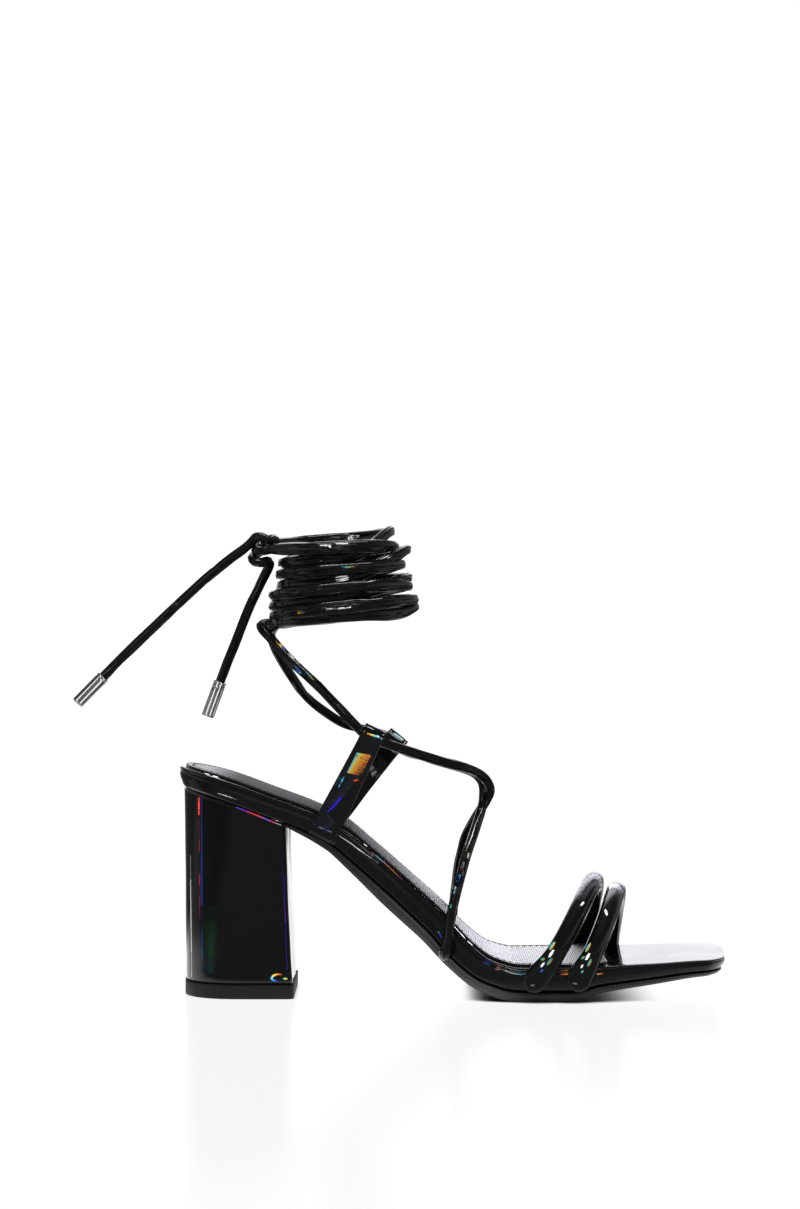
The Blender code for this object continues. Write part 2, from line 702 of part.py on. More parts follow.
def build_tip(name, mouth, direction):
    """A turned metal tip whose bore takes the lace's end."""
    profile = (
        (0.0, TIP_LENGTH), (TIP_RADIUS - TIP_CHAMFER, TIP_LENGTH), (TIP_RADIUS, TIP_LENGTH - TIP_CHAMFER),
        (TIP_RADIUS, 0.0), (TIP_BORE, 0.0), (TIP_BORE, TIP_DEEP), (0.0, TIP_DEEP),
    )
    work = bmesh.new()
    points = [work.verts.new((radius, 0.0, height)) for radius, height in profile]
    for a, b in zip(points, points[1:]):
        work.edges.new((a, b))
    mesh = bpy.data.meshes.new(name)
    work.to_mesh(mesh)
    work.free()
    tip = add_piece(name, mesh, "silver")
    turn = tip.modifiers.new("turn", "SCREW")
    turn.steps = turn.render_steps = TIP_SIDES
    turn.use_merge_vertices = True
    turn.merge_threshold = WELD
    tip.location = mouth
    tip.rotation_mode = "QUATERNION"
    tip.rotation_quaternion = direction.to_track_quat("Z", "Y")
    return tip


def build_lace_end(side, route):
    """A hanging end of lace from the knot into its metal tip."""
    points = smooth_route(route, LACE_STEP)
    direction = (points[-1] - points[-2]).normalized()
    mouth = points[-1]
    build_tip("lace_tip_" + side, mouth, direction)
    name = "lace_end_" + side
    free = cord_curve(name, route, LACE_RADIUS, "lace_patent")
    spline = free.data.splines[0]
    spline.points[-1].co = (*(mouth - direction * SEAM), 1.0)
    spline.points.add(1)
    spline.points[-1].co = (*(mouth + direction * LACE_INTO_TIP), 1.0)
    for index in (-2, -1):
        spline.points[index].radius = LACE_IN_TIP / LACE_RADIUS


def build_lace_ends():
    build_lace_end("long", metres(
        (-88.0, -2.6, 185.1), (-94.8, -4.0, 180.6), (-102.8, -5.6, 174.0), (-113.0, -7.4, 164.6),
        (-127.2, -9.6, 151.0), (-137.6, -11.0, 140.8), (-146.2, -12.0, 132.0),
    ))
    build_lace_end("short", metres(
        (-79.6, -3.2, 177.3), (-82.0, -4.2, 166.0), (-85.2, -5.2, 157.0), (-89.6, -6.0, 147.0),
        (-94.0, -6.6, 138.0), (-98.0, -7.0, 129.8),
    ))


def main():
    start_scene()
    build_sole()
    build_heel()
    build_toe_strap("toe_strap_rear", 0)
    build_toe_strap("toe_strap_front", 1)
    for name in TABS:
        build_tab(name)
    build_instep_lacing()
    build_ankle_ties()
    build_ankle_wrap()
    build_knot()
    build_lace_ends()


main()
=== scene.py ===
import math

import bmesh
import bpy
import numpy as np
from mathutils import Matrix, Vector
from mathutils.bvhtree import BVHTree
from mathutils.interpolate import poly_3d_calc


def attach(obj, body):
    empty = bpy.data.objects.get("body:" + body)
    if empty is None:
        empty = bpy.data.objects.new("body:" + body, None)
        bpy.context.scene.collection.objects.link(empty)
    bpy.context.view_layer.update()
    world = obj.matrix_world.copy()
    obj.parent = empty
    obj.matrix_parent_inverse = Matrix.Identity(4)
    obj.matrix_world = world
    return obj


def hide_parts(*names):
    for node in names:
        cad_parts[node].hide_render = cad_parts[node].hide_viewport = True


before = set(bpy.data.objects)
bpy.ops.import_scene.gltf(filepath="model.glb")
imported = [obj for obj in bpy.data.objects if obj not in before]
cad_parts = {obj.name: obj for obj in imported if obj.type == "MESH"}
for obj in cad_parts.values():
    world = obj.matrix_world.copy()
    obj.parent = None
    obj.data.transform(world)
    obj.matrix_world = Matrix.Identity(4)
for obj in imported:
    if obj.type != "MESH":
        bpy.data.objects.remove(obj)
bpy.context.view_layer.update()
scene = bpy.context.scene
mm = 0.001
print("frame loaded:", len(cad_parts), "nodes")


# camera at the photo's angle, found from the shoe's own edges
cameraSettings = dict(place=(-0.023, -1.100, 0.150), focalPixels=2619.0, frameWidth=800, frameHeight=1209,
                      rise=28.9)


def makeCamera(s):
    lens = bpy.data.cameras.new("photoCamera")
    lens.sensor_fit = "VERTICAL"
    lens.sensor_height = 36.0
    lens.lens = s["focalPixels"] / s["frameHeight"] * lens.sensor_height
    lens.clip_start = 0.01
    lens.clip_end = 60.0
    camera = bpy.data.objects.new("photoCamera", lens)
    camera.location = s["place"]
    camera.rotation_euler = (math.pi / 2 + math.atan(s["rise"] / s["focalPixels"]), 0.0, 0.0)
    scene.collection.objects.link(camera)
    scene.camera = camera
    bpy.context.view_layer.update()
    return camera


camera = makeCamera(cameraSettings)
print("camera set")


# small helpers

def ease(value):
    value = np.clip(value, 0.0, 1.0)
    return value * value * (3 - 2 * value)


def mix(a, b, share):
    return a + (b - a) * share


def unit(vectors):
    return vectors / np.maximum(np.linalg.norm(vectors, axis=-1, keepdims=True), 1e-12)


def monotone(keys, values):
    # monotone cubic through the rows of a table
    span = np.diff(keys)
    rise = np.diff(values) / span
    slope = np.concatenate(([rise[0]], np.zeros(len(keys) - 2), [rise[-1]]))
    for i in range(1, len(keys) - 1):
        if rise[i - 1] * rise[i] > 0:
            before = 2 * span[i] + span[i - 1]
            after = span[i] + 2 * span[i - 1]
            slope[i] = (before + after) / (before / rise[i - 1] + after / rise[i])

    def at(where):
        where = np.clip(where, keys[0], keys[-1])
        i = np.clip(np.searchsorted(keys, where, side="right") - 1, 0, len(span) - 1)
        t = (where - keys[i]) / span[i]
        bend = slope[i] * span[i] * t * (1 - t) ** 2 + slope[i + 1] * span[i] * t * t * (t - 1)
        return values[i] + (values[i + 1] - values[i]) * t * t * (3 - 2 * t) + bend

    return at


def smoothRoute(points, step):
    # even points on a smooth curve through the route's own points
    p = np.array(points, float)
    p = np.vstack((2 * p[0] - p[1], p, 2 * p[-1] - p[-2]))
    t = np.linspace(0, 1, 24, endpoint=False)[:, None]
    dense = [
        0.5 * (2 * b + (c - a) * t + (2 * a - 5 * b + 4 * c - d) * t ** 2 + (3 * b - a - 3 * c + d) * t ** 3)
        for a, b, c, d in zip(p, p[1:], p[2:], p[3:])
    ]
    dense = np.vstack((*dense, p[-2:-1]))
    travelled = np.concatenate(([0.0], np.cumsum(np.linalg.norm(np.diff(dense, axis=0), axis=1))))
    even = np.linspace(0.0, travelled[-1], max(3, round(travelled[-1] / step) + 1))
    return np.stack([np.interp(even, travelled, dense[:, axis]) for axis in range(3)], axis=1)


def routeLength(points):
    return float(np.linalg.norm(np.diff(points, axis=0), axis=1).sum())


def waviness(points, size, depth, seed):
    # slow swell of a skin, as a sum of a few turned waves
    draw = np.random.default_rng(seed)
    total = np.zeros(len(points))
    for _ in range(6):
        way = unit(draw.normal(size=3))
        total += np.sin(points @ way * (2 * math.pi / (size * draw.uniform(0.7, 1.5))) + draw.uniform(0, 6.3))
    return total * depth / 6


def gridMesh(name, rows, closedEnds=False, swell=None):
    # closed skin over rows of points that each run round the piece
    rows = np.asarray(rows, float)
    count = rows.shape[1]
    work = bmesh.new()
    verts = [work.verts.new(point) for point in rows.reshape(-1, 3)]
    for r in range(len(rows) - 1):
        for i in range(count):
            j = (i + 1) % count
            corners = (verts[r * count + i], verts[r * count + j], verts[(r + 1) * count + j],
                       verts[(r + 1) * count + i])
            work.faces.new(corners)
    if closedEnds:
        for start in (0, (len(rows) - 1) * count):
            work.faces.new(verts[start:start + count])
    bmesh.ops.remove_doubles(work, verts=work.verts, dist=2e-6)
    bmesh.ops.dissolve_degenerate(work, edges=work.edges, dist=1e-7)
    bmesh.ops.recalc_face_normals(work, faces=work.faces)
    if swell:
        work.normal_update()
        places = np.array([v.co for v in work.verts])
        for v, lift in zip(work.verts, waviness(places, *swell)):
            v.co += v.normal * float(lift)
    mesh = bpy.data.meshes.new(name)
    work.to_mesh(mesh)
    work.free()
    mesh.shade_smooth()
    return mesh


def ridesShoe(piece, slot, *nodes):
    # one rigid body carries every piece; a piece may stand for solids of the frame
    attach(piece, "root")
    if nodes:
        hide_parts(*nodes)
    return piece


def addPiece(name, mesh, material, slot, node):
    piece = bpy.data.objects.new(name, mesh)
    scene.collection.objects.link(piece)
    mesh.materials.append(material)
    return ridesShoe(piece, slot, node)


# node helpers

socketKinds = {float: "Float", int: "Int", tuple: "Color"}


def newGroup(name, kind, inputs, outputs):
    # an input is given by its default value, or by its kind of socket where it has none
    tree = bpy.data.node_groups.new(name, kind)
    for label, value in inputs.items():
        bare = isinstance(value, str)
        socket = "NodeSocket" + (value if bare else socketKinds[type(value)])
        made = tree.interface.new_socket(label, in_out="INPUT", socket_type=socket)
        if not bare:
            made.default_value = value
    for label, socket in outputs.items():
        tree.interface.new_socket(label, in_out="OUTPUT", socket_type="NodeSocket" + socket)
    return tree, tree.nodes.new("NodeGroupInput").outputs, tree.nodes.new("NodeGroupOutput").inputs


def addNode(tree, kind, settings=None, **inputs):
    # inputs are values or sockets to link; i2 is the socket of that number, and underscores stand for spaces
    node = tree.nodes.new(kind)
    for key, value in (settings or {}).items():
        setattr(node, key, value)
    for key, value in inputs.items():
        numbered = key[0] == "i" and key[1:].isdigit()
        socket = node.inputs[int(key[1:]) if numbered else key.replace("_", " ")]
        if isinstance(value, bpy.types.NodeSocket):
            tree.links.new(value, socket)
        else:
            socket.default_value = value
    return node


def maths(tree, operation, first, second=0.0, third=0.0, clamp=False):
    settings = dict(operation=operation, use_clamp=clamp)
    return addNode(tree, "ShaderNodeMath", settings, i0=first, i1=second, i2=third).outputs[0]


def remap(tree, value, low, high, toLow, toHigh):
    settings = dict(interpolation_type="SMOOTHSTEP")
    node = addNode(tree, "ShaderNodeMapRange", settings, i0=value, i1=low, i2=high, i3=toLow, i4=toHigh)
    return node.outputs[0]


def noiseOf(tree, vector, scale, detail=2.0, rough=0.5):
    node = addNode(tree, "ShaderNodeTexNoise", Vector=vector, Scale=scale, Detail=detail, Roughness=rough)
    return node.outputs[0]


def blendOf(tree, share, low, high, colour=False):
    if colour:
        return addNode(tree, "ShaderNodeMix", dict(data_type="RGBA"), i0=share, i6=low, i7=high).outputs[2]
    return addNode(tree, "ShaderNodeMix", dict(data_type="FLOAT"), i0=share, i2=low, i3=high).outputs[0]


def rampOf(tree, value, *stops):
    # stops are two (position, colour) pairs
    ramp = addNode(tree, "ShaderNodeValToRGB", Fac=value)
    for element, (position, colour) in zip(ramp.color_ramp.elements, stops):
        element.position = position
        element.color = colour
    return ramp.outputs[0]


def partsOf(tree, vector):
    return addNode(tree, "ShaderNodeSeparateXYZ", Vector=vector).outputs


def stretched(tree, vector, across, along):
    settings = dict(operation="MULTIPLY")
    return addNode(tree, "ShaderNodeVectorMath", settings, i0=vector, i1=(across, across, along)).outputs[0]


def runTree(piece, tree, values):
    # evaluates a Geometry Nodes tree and keeps its result as the piece's own plain mesh
    shape = piece.modifiers.new("shape", "NODES")
    shape.node_group = tree
    for item in tree.interface.items_tree:
        if item.item_type == "SOCKET" and item.in_out == "INPUT" and item.name in values:
            shape[item.identifier] = values[item.name]
    bpy.context.view_layer.update()
    depsgraph = bpy.context.evaluated_depsgraph_get()
    mesh = bpy.data.meshes.new_from_object(
        piece.evaluated_get(depsgraph), preserve_all_data_layers=True, depsgraph=depsgraph
    )
    piece.modifiers.remove(shape)
    old = piece.data
    piece.data = mesh
    bpy.data.meshes.remove(old)
    mesh.name = piece.name
    return piece


def lineObject(name, runs):
    # one mesh of open runs of edges
    points, edges = [], []
    for run in runs:
        start = len(points)
        points += [tuple(p) for p in run]
        edges += [(start + i, start + i + 1) for i in range(len(run) - 1)]
    mesh = bpy.data.meshes.new(name)
    mesh.from_pydata(points, edges, [])
    piece = bpy.data.objects.new(name, mesh)
    scene.collection.objects.link(piece)
    return piece


# finishes

def newSkin(name, inputs):
    outputs = dict(Height="Float", Roughness="Float", Colour="Color")
    return newGroup(name, "ShaderNodeTree", {"Place": "Vector", **inputs}, outputs)


def finishSkin(tree, out, height, roughness, colour):
    tree.links.new(height, out["Height"])
    tree.links.new(roughness, out["Roughness"])
    tree.links.new(colour, out["Colour"])
    return tree


def patentSkinGroup():
    # slow ripple, fine peel and handling smudges of a patent skin
    tree, given, out = newSkin("patentSkin", dict(Ripple=70.0, Peel=1400.0, Gloss=0.16, Dull=0.26))
    place = given["Place"]
    ripple = noiseOf(tree, place, given["Ripple"], detail=3.0, rough=0.45)
    peel = noiseOf(tree, place, given["Peel"], detail=1.0)
    smudge = noiseOf(tree, place, 38.0, detail=5.0, rough=0.6)
    height = maths(tree, "MULTIPLY_ADD", peel, 0.02, ripple)
    rough = blendOf(tree, remap(tree, smudge, 0.4, 0.72, 0.0, 1.0), given["Gloss"], given["Dull"])
    tone = rampOf(tree, noiseOf(tree, place, 16.0, detail=4.0),
                  (0.3, (0.0045, 0.0048, 0.0052, 1)), (0.75, (0.0085, 0.0098, 0.0102, 1)))
    return finishSkin(tree, out, height, rough, tone)


def creasedLaceGroup():
    # crumpled patent tape: sharp folds along the lace and soft crumples between them, with painted shade
    # along the folds
    tree, given, out = newSkin("creasedLace", dict(Folds=0.7, Gloss=0.2))
    folds = noiseOf(tree, stretched(tree, given["Place"], 640.0, 110.0), 1.0, detail=1.0)
    fold = maths(tree, "ABSOLUTE", maths(tree, "SUBTRACT", folds, 0.5))
    fold = remap(tree, fold, 0.0, 0.11, 0.0, 1.0)
    crumple = noiseOf(tree, stretched(tree, given["Place"], 430.0, 260.0), 1.0)
    height = maths(tree, "MULTIPLY_ADD", fold, given["Folds"], crumple)
    rough = remap(tree, crumple, 0.3, 0.7, given["Gloss"], 0.4)
    # painted shade: the colour is darker along the fold lines, in the creases
    tone = rampOf(tree, fold, (0.0, (0.0022, 0.0022, 0.0024, 1)), (1.0, (0.0068, 0.007, 0.0076, 1)))
    return finishSkin(tree, out, height, rough, tone)


def fineGrainGroup():
    # pebbled grain with slow random tone for sole, rubber, thread and metal; its colour can darken to the toe
    # and the rear, a painted shade
    tree, given, out = newSkin("fineGrain", {
        "Scale": 1500.0, "Dark": (0.02, 0.02, 0.02, 1), "Light": (0.05, 0.05, 0.05, 1), "Gloss": 0.45,
        "Dull": 0.65, "Fade start": 1.0, "Fade end": 2.0, "Fade": 1.0, "Rear start": -2.0, "Rear end": -1.0,
        "Rear fade": 1.0,
    })
    place = given["Place"]
    forward = partsOf(tree, place)["X"]
    # painted shade: the colour is scaled down towards the toe and towards the rear
    fade = remap(tree, forward, given["Fade start"], given["Fade end"], 1.0, given["Fade"])
    rear = remap(tree, forward, given["Rear start"], given["Rear end"], given["Rear fade"], 1.0)
    cells = addNode(tree, "ShaderNodeTexVoronoi", dict(feature="SMOOTH_F1"), Vector=place,
                    Scale=given["Scale"])
    grain = maths(tree, "SUBTRACT", 1.0, cells.outputs["Distance"])
    slow = noiseOf(tree, place, 120.0, detail=5.0, rough=0.6)
    height = maths(tree, "MULTIPLY_ADD", slow, 0.5, grain)
    shade = maths(tree, "MULTIPLY", grain, remap(tree, slow, 0.3, 0.7, 0.6, 1.0), clamp=True)
    colour = blendOf(tree, shade, given["Dark"], given["Light"], colour=True)
    paintedShadeScale = maths(tree, "MULTIPLY", fade, rear)
    colour = addNode(tree, "ShaderNodeVectorMath", dict(operation="SCALE"), i0=colour, Scale=paintedShadeScale)
    rough = blendOf(tree, remap(tree, slow, 0.35, 0.7, 0.0, 1.0), given["Gloss"], given["Dull"])
    return finishSkin(tree, out, height, rough, colour.outputs[0])


def ribbedSockGroup():
    # fine ribs across the sock, dull over the heel seat and glossier ahead of it and at its rear end
    tree, given, out = newSkin("ribbedSock", dict(Pitch=0.0009, Gloss=0.22, Dull=0.62))
    place = given["Place"]
    forward = partsOf(tree, place)["X"]
    weave = noiseOf(tree, place, 640.0, detail=3.0)
    drift = maths(tree, "MULTIPLY", noiseOf(tree, place, 240.0), 0.0006)
    phase = maths(tree, "DIVIDE", maths(tree, "ADD", forward, drift), given["Pitch"])
    wave = maths(tree, "SINE", maths(tree, "MULTIPLY", phase, 2 * math.pi))
    rib = maths(tree, "MULTIPLY_ADD", wave, 0.5, 0.5)
    height = maths(tree, "MULTIPLY_ADD", weave, 1.3, rib)
    ribShade = maths(tree, "MULTIPLY_ADD", rib, 0.5, 0.5)
    shade = maths(tree, "MULTIPLY", ribShade, maths(tree, "MULTIPLY_ADD", weave, 0.6, 0.7))
    colour = blendOf(tree, shade, (0.008, 0.008, 0.009, 1), (0.045, 0.045, 0.05, 1), colour=True)
    ahead = remap(tree, forward, -0.05, 0.02, 0.0, 1.0)
    rearEnd = remap(tree, forward, -0.106, -0.086, 1.0, 0.0)
    rough = blendOf(tree, maths(tree, "MAXIMUM", ahead, rearEnd), given["Dull"], given["Gloss"])
    return finishSkin(tree, out, height, rough, colour)


def makeMaterial(name, group, values, place="Object", bump=(0.2, 0.0002), shader=None):
    # one Principled finish; place is Object coordinates or the name of a vector attribute
    material = bpy.data.materials.new(name)
    material.use_nodes = True
    tree = material.node_tree
    principled = tree.nodes["Principled BSDF"]
    if place == "Object":
        where = tree.nodes.new("ShaderNodeTexCoord").outputs["Object"]
    else:
        where = addNode(tree, "ShaderNodeAttribute", dict(attribute_name=place)).outputs["Vector"]
    skin = tree.nodes.new("ShaderNodeGroup")
    skin.node_tree = group
    tree.links.new(where, skin.inputs["Place"])
    for key, value in values.items():
        skin.inputs[key].default_value = value
    lift = addNode(tree, "ShaderNodeBump", Strength=bump[0], Distance=bump[1], Height=skin.outputs["Height"])
    tree.links.new(lift.outputs["Normal"], principled.inputs["Normal"])
    tree.links.new(skin.outputs["Colour"], principled.inputs["Base Color"])
    tree.links.new(skin.outputs["Roughness"], principled.inputs["Roughness"])
    for key, value in (shader or {}).items():
        principled.inputs[key].default_value = value
    return material


patentSkin = patentSkinGroup()
creasedLace = creasedLaceGroup()
fineGrain = fineGrainGroup()
coated = {"Coat Weight": 1.0, "Coat Roughness": 0.02, "Coat IOR": 1.52, "Specular IOR Level": 0.08}
finishes = dict(
    patent=makeMaterial("blackPatent", patentSkin, {}, bump=(0.12, 0.0004), shader=coated),
    heelPatent=makeMaterial("heelPatent", patentSkin, {"Ripple": 42.0, "Dull": 0.34}, bump=(0.10, 0.0005),
                            shader=coated),
    lace=makeMaterial("lacePatent", creasedLace, {}, place="lacePlace", bump=(0.8, 0.0006),
                      shader={**coated, "Coat Roughness": 0.03}),
    sock=makeMaterial("sockLining", ribbedSockGroup(), {}, bump=(0.7, 0.0003),
                      shader={"Sheen Weight": 0.3, "Sheen Roughness": 0.3, "Specular IOR Level": 0.4}),
    # the sole's fade values paint shade: near black ahead of the ball and dark towards the rear
    sole=makeMaterial("satinSole", fineGrain, {
        "Scale": 900.0, "Dark": (0.04, 0.041, 0.042, 1), "Light": (0.085, 0.086, 0.09, 1), "Gloss": 0.26,
        "Dull": 0.36, "Fade start": 0.01, "Fade end": 0.035, "Fade": 0.06, "Rear start": -0.06,
        "Rear end": -0.012, "Rear fade": 0.13,
    }, bump=(0.12, 0.0001), shader={"Specular IOR Level": 0.7}),
    rubber=makeMaterial("liftRubber", fineGrain, {
        "Scale": 1300.0, "Dark": (0.008, 0.008, 0.009, 1), "Light": (0.022, 0.022, 0.024, 1), "Gloss": 0.55,
        "Dull": 0.75,
    }, bump=(0.4, 0.00015)),
    thread=makeMaterial("blackThread", fineGrain, {
        "Scale": 5200.0, "Dark": (0.006, 0.006, 0.007, 1), "Light": (0.02, 0.02, 0.021, 1), "Gloss": 0.45,
        "Dull": 0.6,
    }, bump=(0.5, 0.0001)),
    silver=makeMaterial("polishedSilver", fineGrain, {
        "Scale": 2400.0, "Dark": (0.60, 0.60, 0.61, 1), "Light": (0.78, 0.78, 0.79, 1), "Gloss": 0.14,
        "Dull": 0.26,
    }, bump=(0.03, 0.00005), shader={"Metallic": 1.0}),
)
print("finishes made:", len(finishes))


# footbed: the same rows as the solids
footbed = dict(
    heelBack=-115.0 * mm, heelRound=27.0 * mm, heelSquare=2.5,
    toeFront=112.6 * mm, toeRound=9.0 * mm, toeCorner=13.0 * mm, toeSlant=0.09, slantFrom=46.0 * mm,
    uprightTo=-85.0 * mm, seam=0.3 * mm,
    columns=("x", "top", "outer", "inner", "board", "tread", "pad"),
    rows=(
        (-115, 95.2, 26.6, 26.6, 8.4, 0.5, 0.2),
        (-97, 90.5, 27.2, 27.2, 8.4, 0.5, 0.4),
        (-76, 83.0, 27.2, 26.8, 8.4, 0.5, 0.8),
        (-58, 76.3, 26.7, 25.4, 8.4, 2.0, 1.0),
        (-47, 70.7, 26.4, 24.4, 8.4, 2.8, 1.0),
        (-36, 61.8, 26.3, 23.7, 8.5, 2.8, 1.0),
        (-20, 47.9, 26.8, 23.9, 8.7, 3.0, 0.9),
        (-5, 34.3, 29.0, 26.2, 9.0, 3.3, 0.8),
        (6, 23.0, 31.8, 29.2, 9.4, 3.5, 0.6),
        (15, 16.9, 34.2, 31.6, 9.7, 3.9, 0.4),
        (26, 14.3, 36.2, 34.1, 9.8, 4.2, 0.2),
        (46, 14.3, 37.3, 36.2, 9.8, 4.2, 0.2),
        (58, 15.0, 37.0, 36.3, 8.0, 3.1, 0.2),
        (83, 15.9, 34.2, 35.0, 6.0, 2.4, 0.2),
        (100, 16.6, 31.2, 33.0, 4.9, 1.9, 0.2),
        (115, 16.7, 27.6, 29.8, 4.2, 1.6, 0.2),
    ),
)
seam = footbed["seam"]
footbedTable = np.array(footbed["rows"]).T * mm
profile = {name: monotone(footbedTable[0], column) for name, column in zip(footbed["columns"], footbedTable)}


def slopeAt(x):
    step = 0.5 * mm
    rise = profile["top"](x + step) - profile["top"](x - step)
    upright = ease((x - footbed["heelBack"]) / (footbed["uprightTo"] - footbed["heelBack"]))
    return np.arctan2(rise, 2 * step) * upright


def footbedPoint(x, y, depth):
    # depth is square to the footbed's top line
    slope = slopeAt(x)
    ahead = (x - footbed["slantFrom"]) / (footbed["toeFront"] - footbed["slantFrom"])
    slant = footbed["toeSlant"] * ease(ahead)
    return np.stack(np.broadcast_arrays(
        x + np.sin(slope) * depth + slant * y, y, profile["top"](x) - np.cos(slope) * depth
    ), axis=-1)


boardEnds = dict(rear=footbed["heelBack"], rearRound=footbed["heelRound"], rearCorner=None,
                 front=footbed["toeFront"], frontRound=footbed["toeRound"], frontCorner=footbed["toeCorner"])


def halfWidth(x, side, inset=0.0, ends=boardEnds):
    width = profile["outer" if side < 0 else "inner"](x) - inset
    behind = np.clip((ends["rear"] + ends["rearRound"] - x) / (ends["rearRound"] - inset), 0, 1)
    if ends["rearCorner"] is None:
        power = footbed["heelSquare"]
        width = width * (1 - behind ** power) ** (1 / power)
    else:
        width = width - (ends["rearCorner"] - inset) * (1 - np.sqrt(1 - behind ** 2))
    ahead = np.clip((x - ends["front"] + ends["frontRound"]) / (ends["frontRound"] - inset), 0, 1)
    return width - (ends["frontCorner"] - inset) * (1 - np.sqrt(1 - ahead ** 2))


def outline(inset, ends, along=170, across=12):
    # closed outline of a plate as x and y: back, outer side, front, inner side
    x = mix(ends["rear"] + inset, ends["front"] - inset, (1 - np.cos(np.linspace(0, math.pi, along))) / 2)
    outer = -halfWidth(x, -1, inset, ends)
    inner = halfWidth(x, 1, inset, ends)
    over = np.linspace(0, 1, across + 2)[1:-1]
    xs = np.concatenate((x, np.full(across, x[-1]), x[::-1], np.full(across, x[0])))
    ys = np.concatenate((outer, mix(outer[-1], inner[-1], over), inner[::-1], mix(inner[0], outer[0], over)))
    return xs, ys


def plateMesh(name, ends, topRows, underRows, swell=None, spine=16 * mm, shrink=(0.9, 0.7, 0.45, 0.2, 0.0)):
    # rows run from the middle of the top over the edge to the middle of the underside
    def inside(row, shares):
        inset, depth = row
        xs, ys = outline(inset, ends)
        middle = np.clip(xs, ends["rear"] + inset + spine, ends["front"] - inset - spine)
        made = []
        for share in shares:
            x = mix(middle, xs, share)
            made.append(footbedPoint(x, ys * share, depth(x, share)))
        return made

    rows = inside(topRows[0], shrink)[::-1]
    for inset, depth in topRows + underRows:
        xs, ys = outline(inset, ends)
        rows.append(footbedPoint(xs, ys, depth(xs, 1.0)))
    rows += inside(underRows[-1], shrink)
    return gridMesh(name, rows, swell=swell)


def quarterRound(radius, steps=6):
    # (inset, depth) pairs over a rounded edge, from the flat to the side
    turn = np.linspace(0, math.pi / 2, steps)
    return [(radius * (1 - math.sin(a)), radius * (1 - math.cos(a))) for a in turn]


# laces: the routes of the solids, run on through the wrap and the knot
laceSettings = dict(
    radius=2.05 * mm, step=0.8 * mm, sides=30, creaseDepth=0.34 * mm, wrinkleDepth=0.07 * mm, seedStep=3.7,
    tunnelIn=(5.5, 0.0, -4.5),
    footRun=((0.0, 1.1, 4.6), (0.03, 1.08, 2.4), (0.12, 0.92, 0.5), (0.45, 0.5, 0.0), (1.0, 0.0, 0.0)),
    footPlump=0.55 * mm, footLong=16.0 * mm, footSwell=0.45 * mm, footFlat=50.0 * mm,
    flatSwell=0.8 * mm, windIn=20.0 * mm, windOut=10.0 * mm, turnFlat=0.25, turnFrom=0.25, turnOver=0.6,
    crossing=1.9 * mm, lowRadius=29.9 * mm, highRadius=24.4 * mm, wrapHeight=33.0 * mm,
    wrapPlace=(-46.7 * mm, 0.0, 154.6 * mm), wrapLean=-0.075, wrapNarrow=0.92, wrapFrom=0.07,
    pointsEachTurn=26, bob=0.2 * mm, bobRate=2.3, sway=0.25 * mm, swayRate=1.7,
)
tabSettings = dict(
    heelTabOuter=dict(side=-1, x=-55.5 * mm, z=65.6 * mm, lean=26.6, reach=46.9 * mm, seed=30,
                      node="heel_tab_outer"),
    heelTabInner=dict(side=1, x=-56.5 * mm, z=66.0 * mm, lean=39.4, reach=48.4 * mm, seed=32,
                      node="heel_tab_inner"),
)
tabForm = dict(
    thick=1.6 * mm, wideLow=12.0 * mm, wideTop=9.6 * mm, loop=3.5 * mm, bow=1.0 * mm, onBoard=10.5 * mm,
    tailDrops=(7.4 * mm, 9.5 * mm, 13.0 * mm), tailGap=0.4 * mm, soft=0.6 * mm, step=0.55 * mm,
    swell=(15 * mm, 0.10 * mm), boardShares=(0.5, 1, 3), wallShares=(0.08, 0.94, 12),
    foldDegrees=(0, 241, 15), footTuck=((0.7, 3.2), (0.9, 1.9), (1.7, 0.8), (3.2, 0.15)),
    channel=((0.85, 0.0), (1.1, 0.16), (1.35, 0.16), (2.0, 0.0)),  # stitch channel: (in from the edge, dip)
)


def tabFrame(tab):
    lean = math.radians(tab["lean"])
    up = np.array((math.sin(lean), 0.0, math.cos(lean)))
    along = np.array((math.cos(lean), 0.0, -math.sin(lean)))
    edge = float(halfWidth(tab["x"], tab["side"])) + seam + tabForm["thick"] / 2
    foot = np.array((tab["x"], tab["side"] * edge, tab["z"]))
    centre = foot + up * tab["reach"] - np.array((0, tab["side"] * tabForm["loop"], 0))
    return foot, up, along, centre


def laceFoot(low, high, side):
    # out of the joint under the board and up its edge: (share of the way, share of the board's depth, tuck)
    points = []
    for way, depth, tuck in laceSettings["footRun"]:
        x = mix(low, high, way)
        beside = seam + laceSettings["radius"] - tuck * mm
        points.append(footbedPoint(x, side * (halfWidth(x, side) + beside), depth * profile["board"](x)))
    return points


def tunnelRun(tabName):
    _, _, along, centre = tabFrame(tabSettings[tabName])
    return [centre + along * (end * mm) for end in laceSettings["tunnelIn"]]


